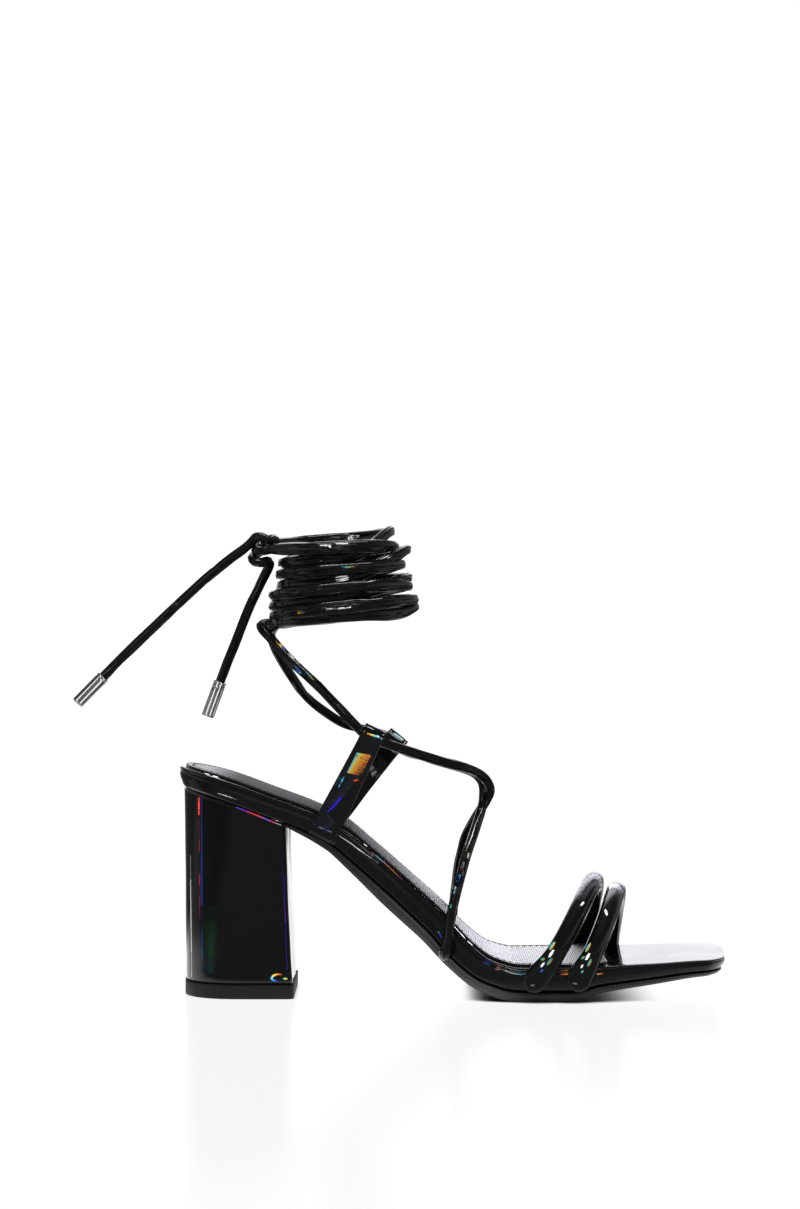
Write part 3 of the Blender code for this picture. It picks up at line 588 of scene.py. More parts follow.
# turns of the two laces: (turns so far, height, how far out of the plain cone)
wrapTurns = dict(
    laceOuter=(
        (0.0, -0.2, 0.0), (0.12, 2.4, 0.0), (0.25, 2.5, 0.0), (0.38, 1.6, 0.0), (0.5, 4.6, 1.2),
        (0.75, 8.8, 0.0),
        (1.0, 9.4, 0.9), (1.25, 10.2, 0.0), (1.5, 17.0, 1.6), (1.75, 17.0, 0.0),
        (2.0, 17.4, -1.7), (2.25, 18.0, 0.0), (2.5, 28.6, 3.6), (2.75, 25.4, 0.0),
        (3.0, 26.9, -1.6), (3.25, 26.2, 0.0), (3.5, 36.8, -2.0), (3.75, 36.0, 0.0),
        (4.0, 34.8, 0.0),
    ),
    laceInner=(
        (0.0, 0.8, 0.0), (0.25, 4.5, 0.0), (0.5, 7.8, 1.8), (0.75, 6.0, 0.0),
        (1.0, 5.2, 0.0), (1.25, 12.9, 0.0), (1.5, 13.3, 0.6), (1.75, 14.0, 0.0),
        (2.0, 13.6, 0.8), (2.25, 21.0, 0.0), (2.5, 22.3, -0.4), (2.75, 21.9, 0.0),
        (3.0, 22.0, -1.1), (3.25, 29.2, 0.0), (3.5, 30.4, -1.0), (3.75, 30.6, 0.0),
        (4.0, 32.9, 0.0),
    ),
)


def wrapRun(name, way, lastTurn):
    # way is 1 round the outer side first, -1 round the inner side first
    s = laceSettings
    turned = np.linspace(s["wrapFrom"], lastTurn, round(s["pointsEachTurn"] * lastTurn))
    angle = math.pi + way * 2 * math.pi * turned
    turns, heights, outs = np.array(wrapTurns[name]).T
    height = monotone(turns, heights * mm)(turned) + s["bob"] * np.sin(s["bobRate"] * angle + way)
    cone = mix(s["lowRadius"], s["highRadius"], np.clip(height / s["wrapHeight"], 0, 1))
    radius = cone + monotone(turns, outs * mm)(turned) + way * s["crossing"] * np.sin(angle)
    radius = radius + s["sway"] * np.sin(s["swayRate"] * angle + 2 * way)
    local = np.stack((radius * np.cos(angle), s["wrapNarrow"] * radius * np.sin(angle), height), axis=1)
    lean = np.array(Matrix.Rotation(s["wrapLean"], 3, "Y"))
    return list(local @ lean.T + np.array(s["wrapPlace"]))


def inMetres(*rows):
    return [np.array(row) * mm for row in rows]


laceRoutes = dict(
    laceOuter=dict(
        start=laceFoot(2.6 * mm, -2.7 * mm, -1) + inMetres(
            (-0.3, -29.6, 43), (3.8, -22.6, 57), (8, -12.4, 68), (11, -4.6, 76.5), (12.2, 2, 84.4),
            (10.4, 6, 89.2), (4.4, 11, 92.6), (-9.8, 17.4, 96.3),
        ) + tunnelRun("heelTabInner") + inMetres(
            (-38.6, 23, 108.8), (-46.8, 22.8, 111.2), (-55.1, 21.4, 116.4), (-62.8, 18.6, 122.8),
            (-69.4, 13.6, 132.2), (-75.2, 7.6, 142.8), (-77.2, 2.6, 149.4), (-76, -3.6, 152),
        ),
        wrap=wrapRun("laceOuter", 1, 3.86),
        finish=inMetres(
            (-76.4, 5.4, 187.4), (-80, 3.6, 185.6), (-83.4, 1.4, 183.4), (-85, -2.2, 181.4),
            (-83.6, -5.8, 179.9), (-80.6, -7, 179.6), (-78.4, -5.6, 180.2), (-77.6, -3, 179.2),
            (-78.8, -2, 176.2), (-80.6, -2.2, 172.8), (-82.2, -3, 169.4), (-84.2, -4.2, 165),
            (-87.6, -5.2, 157), (-91.4, -6, 147), (-95, -6.6, 138), (-98, -7, 129.8),
        ),
        tip="laceTipShort", nodes=("ankle_tie_inner", "lace_end_short", "instep_lacing"),
        tipNode="lace_tip_short",
    ),
    laceInner=dict(
        start=laceFoot(6.0 * mm, -0.2 * mm, 1) + inMetres(
            (1, 26.6, 42), (2.4, 18.6, 54), (4.8, 10.6, 64), (9, 4.2, 72.6), (13, 0.4, 79.6),
            (14.7, -2.4, 84.8), (11.6, -5.4, 90.2), (4, -11, 94.2), (-10.6, -17, 98.6),
        ) + tunnelRun("heelTabOuter") + inMetres(
            (-48.8, -22.8, 120.2), (-56.3, -19.4, 127.8), (-65, -14.6, 135.6), (-71.5, -10.6, 141.9),
            (-77.4, -6.4, 148.4), (-80.8, -2.6, 152), (-80.6, 1.6, 154),
        ),
        wrap=wrapRun("laceInner", -1, 3.84),
        finish=inMetres(
            (-75.6, -8.8, 185.2), (-79.6, -7.8, 184.5), (-82.8, -5.4, 184.4), (-83.2, -1.6, 185.6),
            (-80.6, 1, 187.8), (-77, 0.6, 189.7), (-75.4, -2.6, 189.2), (-77.6, -5.4, 188.6),
            (-80.8, -5.4, 190.2), (-83.2, -3.6, 190.4), (-85.6, -2.8, 187.8), (-88.6, -3.2, 185.2),
            (-91.6, -3.8, 183), (-94.8, -4, 180.6), (-102.8, -5.6, 174), (-113, -7.4, 164.6),
            (-127.2, -9.6, 151), (-137.6, -11, 140.8), (-146.2, -12, 132),
        ),
        tip="laceTipLong", nodes=("ankle_tie_outer", "ankle_wrap", "ankle_knot", "lace_end_long"),
        tipNode="lace_tip_long",
    ),
)
tipSettings = dict(
    radius=2.65 * mm, bore=2.45 * mm, length=15.4 * mm, deep=11.0 * mm, laceInto=3.6 * mm, sides=56,
    soft=0.7 * mm, endFlat=0.9 * mm, endDome=0.02 * mm, wallTop=1.4 * mm, wallLow=1.6 * mm, wallRows=26,
    neck=0.12 * mm, neckAt=(1.3 * mm, 1.1 * mm), lip=0.09 * mm, lipAt=(0.7 * mm, 0.25 * mm),
    lipSoft=0.05 * mm, dented="laceTipShort",
    dent=dict(height=3.0 * mm, size=0.7 * mm, depth=0.10, turn=0.5, wide=0.12),
)


def namedValue(tree, name, kind="FLOAT"):
    return addNode(tree, "GeometryNodeInputNamedAttribute", dict(data_type=kind), Name=name).outputs[0]


def storeValue(tree, geometry, name, value, kind="FLOAT"):
    settings = dict(data_type=kind, domain="POINT")
    node = addNode(tree, "GeometryNodeStoreNamedAttribute", settings, Geometry=geometry, Name=name,
                   Value=value)
    return node.outputs[0]


def finishTree(tree, out, geometry, finish):
    made = addNode(tree, "GeometryNodeRealizeInstances", Geometry=geometry)
    made = addNode(tree, "GeometryNodeSetShadeSmooth", Geometry=made.outputs[0], Shade_Smooth=True)
    made = addNode(tree, "GeometryNodeSetMaterial", Geometry=made.outputs[0], Material=finish)
    tree.links.new(made.outputs[0], out["Geometry"])
    return tree


def laceTree():
    # tube along a line, with creases that run along it and fine wrinkles across
    tree, given, out = newGroup("laceAlongLine", "GeometryNodeTree", {
        "Geometry": "Geometry", "Radius": 0.002, "Step": 0.001, "Sides": 24, "Crease depth": 0.0003,
        "Wrinkle depth": 0.0001, "Seed": 0.0, "Finish": "Material",
    }, dict(Geometry="Geometry"))
    line = addNode(tree, "GeometryNodeMeshToCurve", Mesh=given["Geometry"])
    line = addNode(tree, "GeometryNodeResampleCurve", dict(mode="LENGTH"), Curve=line.outputs[0],
                   Length=given["Step"])
    gone = tree.nodes.new("GeometryNodeSplineParameter").outputs["Length"]
    line = storeValue(tree, line.outputs[0], "along", gone)
    ring = addNode(tree, "GeometryNodeCurvePrimitiveCircle", dict(mode="RADIUS"),
                   Resolution=given["Sides"], Radius=given["Radius"])
    around = tree.nodes.new("GeometryNodeInputPosition").outputs[0]
    ring = storeValue(tree, ring.outputs[0], "ring", around, "FLOAT_VECTOR")
    tube = addNode(tree, "GeometryNodeCurveToMesh", Curve=line, Profile_Curve=ring, Fill_Caps=True)
    parts = partsOf(tree, namedValue(tree, "ring", "FLOAT_VECTOR"))
    along = maths(tree, "ADD", namedValue(tree, "along"), given["Seed"])
    place = addNode(tree, "ShaderNodeCombineXYZ", X=parts["X"], Y=parts["Y"], Z=along).outputs[0]
    tube = storeValue(tree, tube.outputs[0], "lacePlace", place, "FLOAT_VECTOR")

    def uneven(across, along, depth):
        swing = noiseOf(tree, stretched(tree, place, across, along), 1.0)
        return maths(tree, "MULTIPLY", maths(tree, "SUBTRACT", swing, 0.5), depth)

    fold = noiseOf(tree, stretched(tree, place, 430.0, 26.0), 1.0, detail=1.0)
    valley = maths(tree, "ABSOLUTE", maths(tree, "SUBTRACT", fold, 0.5))
    crease = maths(tree, "MULTIPLY", remap(tree, valley, 0.0, 0.085, -1.0, 0.0), given["Crease depth"])
    swell = uneven(150.0, 60.0, given["Crease depth"])
    wrinkle = uneven(500.0, 520.0, given["Wrinkle depth"])
    facing = tree.nodes.new("GeometryNodeInputNormal").outputs[0]
    upward = maths(tree, "ABSOLUTE", partsOf(tree, facing)["Z"])
    spread = maths(tree, "MULTIPLY", namedValue(tree, "flat"), remap(tree, upward, 0.1, 0.9, 0.15, 1.0))
    spread = maths(tree, "ADD", spread, namedValue(tree, "plump"))
    lift = maths(tree, "ADD", maths(tree, "ADD", crease, swell), maths(tree, "ADD", wrinkle, spread))
    push = addNode(tree, "ShaderNodeVectorMath", dict(operation="SCALE"), i0=facing, Scale=lift)
    tube = addNode(tree, "GeometryNodeSetPosition", Geometry=tube, Offset=push.outputs[0])
    return finishTree(tree, out, tube.outputs[0], given["Finish"])


def turnedMesh(name, outlineRows, sides, mouth, direction, dent=None):
    # outlineRows are (radius, height) pairs turned round the direction
    turn = np.linspace(0, 2 * math.pi, sides, endpoint=False)
    place = Vector(direction).to_track_quat("Z", "Y").to_matrix()
    rows = []
    for radius, height in outlineRows:
        ring = np.stack((radius * np.cos(turn), radius * np.sin(turn), np.full(sides, height)), axis=1)
        if dent:
            near = np.exp(-(((height - dent["height"]) / dent["size"]) ** 2))
            facing = np.exp(-((np.cos(turn - dent["turn"]) - 1) / dent["wide"]) ** 2)
            ring[:, :2] *= (1 - dent["depth"] * near * facing)[:, None]
        rows.append(ring @ np.array(place).T + np.array(mouth))
    return gridMesh(name, rows)


def tipOutline(s):
    # from the closed end down the wall to the lip, then up the bore
    r, length, soft = s["radius"], s["length"], s["soft"]
    rows = [(0.0, length), (r * 0.5, length), (r - s["endFlat"], length - s["endDome"])]
    for a in np.linspace(0.2, math.pi / 2, 6):
        rows.append((r - soft * (1 - math.sin(a)), length - soft * (1 - math.cos(a))))
    rows += [(r, h) for h in np.linspace(length - s["wallTop"], s["wallLow"], s["wallRows"])]
    rows += [(r - s["neck"], h) for h in s["neckAt"]]
    rows += [(r + s["lip"], h) for h in s["lipAt"]]
    rows += [(r - s["lipSoft"], 0.0), (s["bore"], s["lipSoft"]), (s["bore"], s["deep"]), (0.0, s["deep"])]
    return rows


def laceSwell(lace, route):
    # the lace lies flatter where it is wound, and is flatter and plumper at its foot
    s = laceSettings
    gone = np.linspace(0, 1, len(route)) * routeLength(route)
    wrapStart = routeLength(smoothRoute(lace["start"] + lace["wrap"][:2], s["step"]))
    wrapEnd = routeLength(route) - routeLength(smoothRoute(lace["finish"], s["step"]))
    across = np.abs(unit(np.gradient(route, axis=0))[:, 0])
    wound = ease((gone - wrapStart + s["windIn"]) / s["windIn"]) * ease((wrapEnd - gone) / s["windOut"])
    wound = wound * mix(s["turnFlat"], 1.0, ease((across - s["turnFrom"]) / s["turnOver"]))
    return dict(
        flat=s["flatSwell"] * wound + s["footSwell"] * ease(1 - gone / s["footFlat"]),
        plump=s["footPlump"] * ease(1 - gone / s["footLong"]),
    )


laceAlongLine = laceTree()
for order, (name, lace) in enumerate(laceRoutes.items()):
    s = laceSettings
    route = smoothRoute(lace["start"] + lace["wrap"] + lace["finish"], s["step"])
    mouth = route[-1]
    direction = unit(mouth - route[-4])
    intoTip = np.linspace(s["step"], tipSettings["laceInto"], 5)[:, None]
    route = np.vstack((route, mouth + direction * intoTip))
    piece = lineObject(name, [route])
    for title, values in laceSwell(lace, route).items():
        stored = piece.data.attributes.new(title, "FLOAT", "POINT")
        stored.data.foreach_set("value", values.astype(np.float32))
    runTree(piece, laceAlongLine, {
        "Radius": s["radius"], "Step": s["step"], "Sides": s["sides"], "Crease depth": s["creaseDepth"],
        "Wrinkle depth": s["wrinkleDepth"], "Seed": s["seedStep"] * order, "Finish": finishes["lace"],
    })
    ridesShoe(piece, "lace_patent", *lace["nodes"])
    dent = tipSettings["dent"] if lace["tip"] == tipSettings["dented"] else None
    tipMesh = turnedMesh(lace["tip"], tipOutline(tipSettings), tipSettings["sides"], mouth, direction, dent)
    tip = addPiece(lace["tip"], tipMesh, finishes["silver"], "silver", lace["tipNode"])
    print(name, "lace", round(routeLength(route), 3), "m")


# sole pieces
boardForm = dict(
    edge=0.75, flare=0.9, underEdge=2.0, nominal=8.4, swell=(26 * mm, 0.10 * mm, 11),
    # (inset, depth) down the wall: a groove, then plain
    wall=((0.0, 1.15), (0.28, 1.35), (0.28, 1.6), (0.02, 1.9), (0.0, 2.5), (0.0, 3.4), (0.1, 4.6)),
)
insoleForm = dict(
    inset=2.4, front=62.0, corner=6.0, thick=1.0, thin=0.9, thins=(-10.0, 22.0), edge=0.5,
    channel=2.9, channelDeep=0.22, channelHalf=0.15, channelLip=0.45, padFrom=0.9, beadAt=1.4, beadRise=0.06,
    underStep=0.15, underInset=0.2, shrink=(0.93, 0.84, 0.7, 0.5, 0.25, 0.0),
)
outsoleForm = dict(
    inset=1.4, rear=-68.4, corner=1.6, upperEdge=0.35, edge=2.6, nominal=2.8,
    archFull=1.5, archAt=-20.0, archHalf=30.0,
)


def buildBoard():
    f = boardForm

    def scaleAt(x):
        return profile["board"](x) / (f["nominal"] * mm)

    def fromTop(depth):
        return lambda x, q: depth * mm * scaleAt(x)

    def fromUnder(depth):
        return lambda x, q: profile["board"](x) - depth * mm * scaleAt(x)

    top = [(inset * mm, fromTop(depth)) for inset, depth in (*quarterRound(f["edge"]), *f["wall"])]
    under = [((f["flare"] + inset) * mm, fromUnder(depth))
             for inset, depth in quarterRound(f["underEdge"])[::-1]]
    mesh = plateMesh("platformBoard", boardEnds, top, under, swell=f["swell"])
    addPiece("platformBoard", mesh, finishes["patent"], "patent", "platform_board")


def buildOutsole():
    f = outsoleForm
    inset = f["inset"] * mm
    corner = f["corner"] * mm + inset
    ends = dict(boardEnds, rear=f["rear"] * mm - inset, rearRound=corner, rearCorner=corner)

    def upper(x):
        return profile["board"](x) + seam

    def tread(x):
        # the sole is rounder under the arch
        under = ease(1 - np.abs(x / mm - f["archAt"]) / f["archHalf"])
        return profile["tread"](x) + f["archFull"] * mm * under

    def fromTop(depth):
        return lambda x, q: upper(x) + depth * mm

    def fromUnder(depth):
        return lambda x, q: upper(x) + tread(x) * (1 - depth / f["nominal"])

    top = [(inset + away * mm, fromTop(depth)) for away, depth in quarterRound(f["upperEdge"], 3)]
    under = [(inset + away * mm, fromUnder(depth)) for away, depth in quarterRound(f["edge"])[::-1]]
    mesh = plateMesh("outsole", ends, top, under)
    addPiece("outsole", mesh, finishes["sole"], "satin_sole", "outsole")


def insoleTop(x):
    f = insoleForm
    share = ease((x / mm - f["thins"][0]) / (f["thins"][1] - f["thins"][0]))
    return -seam - mix(f["thick"], f["thin"], share) * mm


insoleCorner = (insoleForm["corner"] + insoleForm["inset"]) * mm
insoleEnds = dict(boardEnds, front=(insoleForm["front"] + insoleForm["inset"]) * mm,
                  frontRound=insoleCorner, frontCorner=insoleCorner)


def buildInsole():
    f = insoleForm
    start = f["inset"]
    channel = start + f["channel"]

    def crowned(x, q):
        return insoleTop(x) - profile["pad"](x) * (1 - q ** 2)

    def lowered(depth):
        return lambda x, q: insoleTop(x) + depth * mm

    rows = [(channel + f["channelLip"], 0.0), (channel + f["channelHalf"], f["channelDeep"]),
            (channel - f["channelHalf"], f["channelDeep"]), (channel - f["channelLip"], 0.0)]
    rows += [(start + f["beadAt"], -f["beadRise"])]
    rows += [(start + inset, depth) for inset, depth in quarterRound(f["edge"])]
    top = [((channel + f["padFrom"]) * mm, crowned)] + [(inset * mm, lowered(depth)) for inset, depth in rows]
    under = [(start * mm, lambda x, q: -seam - f["underStep"] * mm),
             ((start + f["underInset"]) * mm, lambda x, q: -seam)]
    mesh = plateMesh("insoleSock", insoleEnds, top, under, shrink=f["shrink"])
    piece = addPiece("insoleSock", mesh, finishes["sock"], "sock", "insole")


buildBoard()
buildOutsole()
buildInsole()
print("sole built")


# heel block and lift; edges and walls are in shares of the height
heelForm = dict(
    liftHeight=6.0, liftProud=0.4, baseBack=-112.4, topBack=-113.2, breastBase=-67.0, breastTop=-69.8,
    hollow=0.5, corner=2.0, inset=1.7, taper=1.2, length=45.0, outsoleRear=-65.8, bulge=0.35, bulgeAt=0.03,
    seatGap=0.05, mostInset=0.8, blockLow=((0.0, 0.35), (0.004, 0.12), (0.012, 0.0)),
    blockWall=(0.03, 0.97, 30), blockTop=((0.985, 0.0), (0.994, 0.08), (1.0, 0.3)),
    swell=(30 * mm, 0.16 * mm, 5), liftLow=((0.0, 0.55), (0.02, 0.2), (0.07, 0.0)),
    liftWall=(0.15, 0.85, 6), liftTop=((0.95, 0.0), (1.0, 0.3)),
)


def underHeights():
    x = np.linspace(footbed["heelBack"], heelForm["outsoleRear"] * mm, 90)
    points = footbedPoint(x, 0.0 * x, profile["board"](x))
    return lambda where: np.interp(where, points[:, 0], points[:, 2])


def heelRing(back, breast, drawIn, heights, inset, along=60, across=16):
    # one level ring: back, outer side, breast with rounded corners, inner side
    f = heelForm
    length, corner = f["length"] * mm, f["corner"] * mm
    spot = mix(inset, length - inset, (1 - np.cos(np.linspace(0, math.pi, along))) / 2)
    seat = footbed["heelBack"] + f["inset"] * mm + spot
    bend = corner - min(inset, f["mostInset"] * corner)
    ahead = np.clip((spot - length + corner) / bend, 0, 1)
    cut = bend * (1 - np.sqrt(1 - ahead ** 2))
    x = mix(back, breast, spot / length)
    outer = -(halfWidth(seat, -1, f["inset"] * mm + inset) - drawIn - cut)
    inner = halfWidth(seat, 1, f["inset"] * mm + inset) - drawIn - cut
    outer[0] = inner[0] = 0.0
    over = np.linspace(0, 1, across + 2)[1:-1]
    xs = np.concatenate((x, np.full(across, x[-1]), x[::-1]))
    ys = np.concatenate((np.minimum(outer, 0), mix(outer[-1], inner[-1], over), np.maximum(inner[::-1], 0)))
    return np.stack((xs, ys, heights(xs)), axis=1)


def closeRing(ring, spine=14 * mm, shares=(0.8, 0.5, 0.2, 0.0)):
    # rows that draw a ring in to its middle line
    middle = np.clip(ring[:, 0], ring[:, 0].min() + spine, ring[:, 0].max() - spine)
    rows = []
    for share in shares:
        row = ring.copy()
        row[:, 0] = mix(middle, ring[:, 0], share)
        row[:, 1] *= share
        rows.append(row)
    return rows


def heelLevels(part):
    # (share of the height, inset) for each ring of the block or the lift
    wall = [(share, 0.0) for share in np.linspace(*heelForm[part + "Wall"])]
    return [*heelForm[part + "Low"], *wall, *heelForm[part + "Top"]]


def stackMesh(name, rings, swell=None):
    return gridMesh(name, closeRing(rings[0])[::-1] + rings + closeRing(rings[-1]), swell=swell)


def buildHeel():
    f = heelForm
    under = underHeights()
    base = f["liftHeight"] * mm + seam
    rings = []
    for share, inset in heelLevels("block"):
        bulge = f["bulge"] * mm * math.exp(-((share - f["bulgeAt"]) / f["bulgeAt"]) ** 2)
        rings.append(heelRing(
            mix(f["baseBack"], f["topBack"], share) * mm,
            (mix(f["breastBase"], f["breastTop"], share) - f["hollow"] * 4 * share * (1 - share)) * mm,
            f["taper"] * mm * (1 - share) - bulge,
            lambda x, share=share: mix(base, under(x) - f["seatGap"] * mm, share), inset * mm,
        ))
    mesh = stackMesh("heelBlock", rings, swell=f["swell"])
    addPiece("heelBlock", mesh, finishes["heelPatent"], "patent", "heel_block")


def buildLift():
    f = heelForm
    proud = f["liftProud"]
    rings = [heelRing(
        (f["baseBack"] - proud) * mm, (f["breastBase"] + proud) * mm, (f["taper"] - proud) * mm,
        lambda x, share=share: np.full_like(x, f["liftHeight"] * mm * share), inset * mm,
    ) for share, inset in heelLevels("lift")]
    addPiece("topLift", stackMesh("topLift", rings), finishes["rubber"], "rubber", "top_lift")


buildHeel()
buildLift()
print("heel built")


# toe straps
strapForm = dict(
    radius=4.0, footWide=4.9, footThick=1.8, footLow=5.2, footMiddle=(6.6, 9.0), footTop=11.5, spring=13.0,
    fillFrom=11.0, fillTo=22.0, sides=48, leanPower=0.75, step=0.9, toeThin=0.55, toeSoft=2.5,
    leastRound=0.02, archDegrees=(4, 178, 6), swell=(17 * mm, 0.10 * mm),
)
strapSettings = dict(
    toeStrapRear=dict(near=34.0, far=54.0, lean=14.0, crown=46.0, trail=5.0, node="toe_strap_rear", seed=21),
    toeStrapFront=dict(near=50.4, far=66.4, lean=9.2, crown=41.8, trail=2.4, node="toe_strap_front", seed=22),
)


def sweepMesh(name, path, widthAxis, sections, swell=None):
    # sections hold (across, outward) pairs for each point of the path
    tangent = unit(np.gradient(path, axis=0))
    axis = np.array(widthAxis, float)
    across = unit(axis - tangent * (tangent @ axis)[:, None])
    outward = np.cross(tangent, across)
    rows = path[:, None] + across[:, None] * sections[..., :1] + outward[:, None] * sections[..., 1:]
    return gridMesh(name, rows, closedEnds=True, swell=swell)


def buildStrap(name, strap):
    f = strapForm
    near, far, lean, crown, trail = (strap[key] * mm for key in ("near", "far", "lean", "crown", "trail"))
    spring = f["spring"] * mm
    edge = [float(halfWidth(x, side)) + seam + f["footThick"] * mm for x, side in ((near, -1), (far, 1))]
    low = np.array((f["footLow"], *f["footMiddle"], f["footTop"])) * mm
    points = [(near - trail * (spring - z) / (spring - low[0]), -edge[0], z) for z in low]
    for degrees in range(*f["archDegrees"]):
        angle = math.radians(degrees)
        across = -math.cos(angle)
        points.append((
            mix(near, far, degrees / 180) + lean * math.sin(angle) ** f["leanPower"],
            across * edge[0 if across < 0 else 1], spring + (crown - spring) * math.sin(angle),
        ))
    points += [(far, edge[1], z) for z in low[::-1]]
    path = smoothRoute(points, f["step"] * mm)
    height = path[:, 2] / mm
    fill = ease((height - f["fillFrom"]) / (f["fillTo"] - f["fillFrom"]))
    wide = mix(f["footWide"], f["radius"], fill)
    thick = mix(f["footThick"], f["radius"], fill)
    rounding = np.clip((height - f["footLow"]) / f["footWide"], 0, 1)  # half-round end of the flattened foot
    wide = wide * np.sqrt(np.clip(1 - (1 - rounding) ** 2, f["leastRound"], 1))
    thick = thick * mix(f["toeThin"], 1.0, ease((height - f["footLow"]) / f["toeSoft"]))
    turn = np.linspace(0, 2 * math.pi, f["sides"], endpoint=False)
    sections = np.stack((wide[:, None] * np.cos(turn), thick[:, None] * np.sin(turn)), axis=-1) * mm
    mesh = sweepMesh(name, path, (1, 0, 0), sections, swell=(*f["swell"], strap["seed"]))
    piece = addPiece(name, mesh, finishes["patent"], "patent", strap["node"])


for name, strap in strapSettings.items():
    buildStrap(name, strap)
print("toe straps built")


# heel tabs

def tabPath(tab):
    f = tabForm
    foot, up, _, centre = tabFrame(tab)
    outward = np.array((0.0, tab["side"], 0.0))
    reach, board = tab["reach"], f["onBoard"]
    points = [foot + up * (rise * mm) - outward * (tuck * mm) for rise, tuck in f["footTuck"]]
    points += [foot + up * h for h in np.linspace(*f["boardShares"]) * board]
    for share in np.linspace(*f["wallShares"]):
        points.append(foot + up * mix(board, reach, share) + outward * f["bow"] * math.sin(math.pi * share))
    for degrees in range(*f["foldDegrees"]):
        angle = math.radians(degrees)
        points.append(centre + f["loop"] * (up * math.sin(angle) + outward * math.cos(angle)))
    beside = f["loop"] - f["thick"] - f["tailGap"]
    for drop in f["tailDrops"]:
        share = (reach - drop - board) / (reach - board)
        points.append(centre - up * drop + outward * (beside + f["bow"] * math.sin(math.pi * share)))
    return smoothRoute(points, f["step"])


def tabHalf(tab, points):
    foot, up, _, _ = tabFrame(tab)
    share = ((points - foot) @ up) / tab["reach"]
    return mix(tabForm["wideLow"], tabForm["wideTop"], ease(share)) / 2


def buildTab(name, tab):
    f = tabForm
    _, _, along, _ = tabFrame(tab)
    path = tabPath(tab)
    half = tabHalf(tab, path)[:, None]
    wall, soft = f["thick"] / 2, f["soft"]
    quarter = []
    for a in np.linspace(0, math.pi / 2, 5):
        quarter.append((half - soft + soft * math.cos(a),
                        np.full_like(half, wall - soft + soft * math.sin(a))))
    for inset, dip in f["channel"]:
        quarter.append((half - inset * mm, np.full_like(half, wall - dip * mm)))
    across, out = [], []
    for sideways, outwards in ((1, 1), (-1, 1), (-1, -1), (1, -1)):
        for a, o in quarter if sideways * outwards > 0 else quarter[::-1]:
            across.append(sideways * a)
            out.append(outwards * o)
    sections = np.stack((np.hstack(across), np.hstack(out)), axis=-1)
    mesh = sweepMesh(name, path, along, sections, swell=(*f["swell"], tab["seed"]))
    addPiece(name, mesh, finishes["patent"], "patent", tab["node"])


for name, tab in tabSettings.items():
    buildTab(name, tab)
print("heel tabs built")


# stitches
stitchSettings = dict(
    sockSpacing=2.7 * mm, sockLength=2.1 * mm, sockThick=0.62 * mm, sockSunk=0.1 * mm, sockAlong=260,
    sockAcross=12, tabSpacing=1.9 * mm, tabLength=1.45 * mm, tabThick=0.42 * mm, tabSunk=0.08 * mm,
    tabInset=1.1 * mm, tabFrom=1.5 * mm, tabTo=0.5 * mm, crossDrop=10.6 * mm,
)


def stitchTree():
    tree, given, out = newGroup("stitchesAlongLine", "GeometryNodeTree", dict(
        Geometry="Geometry", Spacing=0.002, Length=0.0015, Thickness=0.0005, Finish="Material",
    ), dict(Geometry="Geometry"))
    line = addNode(tree, "GeometryNodeMeshToCurve", Mesh=given["Geometry"])
    spots = addNode(tree, "GeometryNodeCurveToPoints", dict(mode="LENGTH"), Curve=line.outputs[0],
                    Length=given["Spacing"])
    turned = addNode(tree, "FunctionNodeAlignRotationToVector", dict(axis="Z"),
                     Vector=spots.outputs["Tangent"])
    ball = addNode(tree, "GeometryNodeMeshUVSphere", Segments=8, Rings=6, Radius=0.5)
    size = addNode(tree, "ShaderNodeCombineXYZ", X=given["Thickness"], Y=given["Thickness"],
                   Z=given["Length"])
    sewn = addNode(tree, "GeometryNodeInstanceOnPoints", Points=spots.outputs[0], Instance=ball.outputs[0],
                   Rotation=turned.outputs[0], Scale=size.outputs[0])
    return finishTree(tree, out, sewn.outputs[0], given["Finish"])


def sew(name, runs, spacing, length, thick, slot):
    piece = runTree(lineObject(name, runs), stitchesAlongLine,
                    {"Spacing": spacing, "Length": length, "Thickness": thick, "Finish": finishes["thread"]})
    ridesShoe(piece, slot)


def sewSock():
    # round the sock's edge, from one front corner over the heel to the other
    s = stitchSettings
    inset = (insoleForm["inset"] + insoleForm["channel"]) * mm
    xs, ys = outline(inset, insoleEnds, s["sockAlong"], s["sockAcross"])
    sides = 2 * s["sockAlong"] + s["sockAcross"]
    order = np.r_[sides // 2:sides, 0:sides // 2]
    points = footbedPoint(xs, ys, insoleTop(xs) + s["sockSunk"])[:sides][order]
    sew("sockStitches", [points], s["sockSpacing"], s["sockLength"], s["sockThick"], "sock")


def sewTab(name, tab):
    s, f = stitchSettings, tabForm
    _, up, along, _ = tabFrame(tab)
    outward = np.array((0.0, tab["side"], 0.0))
    path = tabPath(tab)
    rise = (path - path[0]) @ up
    first = int(np.argmax(rise > f["onBoard"] + s["tabFrom"]))
    last = int(np.argmax(rise > tab["reach"] - s["tabTo"]))
    face = path[first:last] + outward * (f["thick"] / 2 - s["tabSunk"])
    edge = (tabHalf(tab, path[first:last]) - s["tabInset"])[:, None] * along
    level = int(np.argmax(rise[:last] > tab["reach"] - s["crossDrop"])) - first
    span = np.linspace(-1, 1, 12)[:, None] * edge[level]
    runs = [face + edge, face - edge, face[level] + span]
    sew(name + "Stitches", runs, s["tabSpacing"], s["tabLength"], s["tabThick"], "patent")


stitchesAlongLine = stitchTree()
sewSock()
for name, tab in tabSettings.items():
    sewTab(name, tab)
print("stitches sewn")


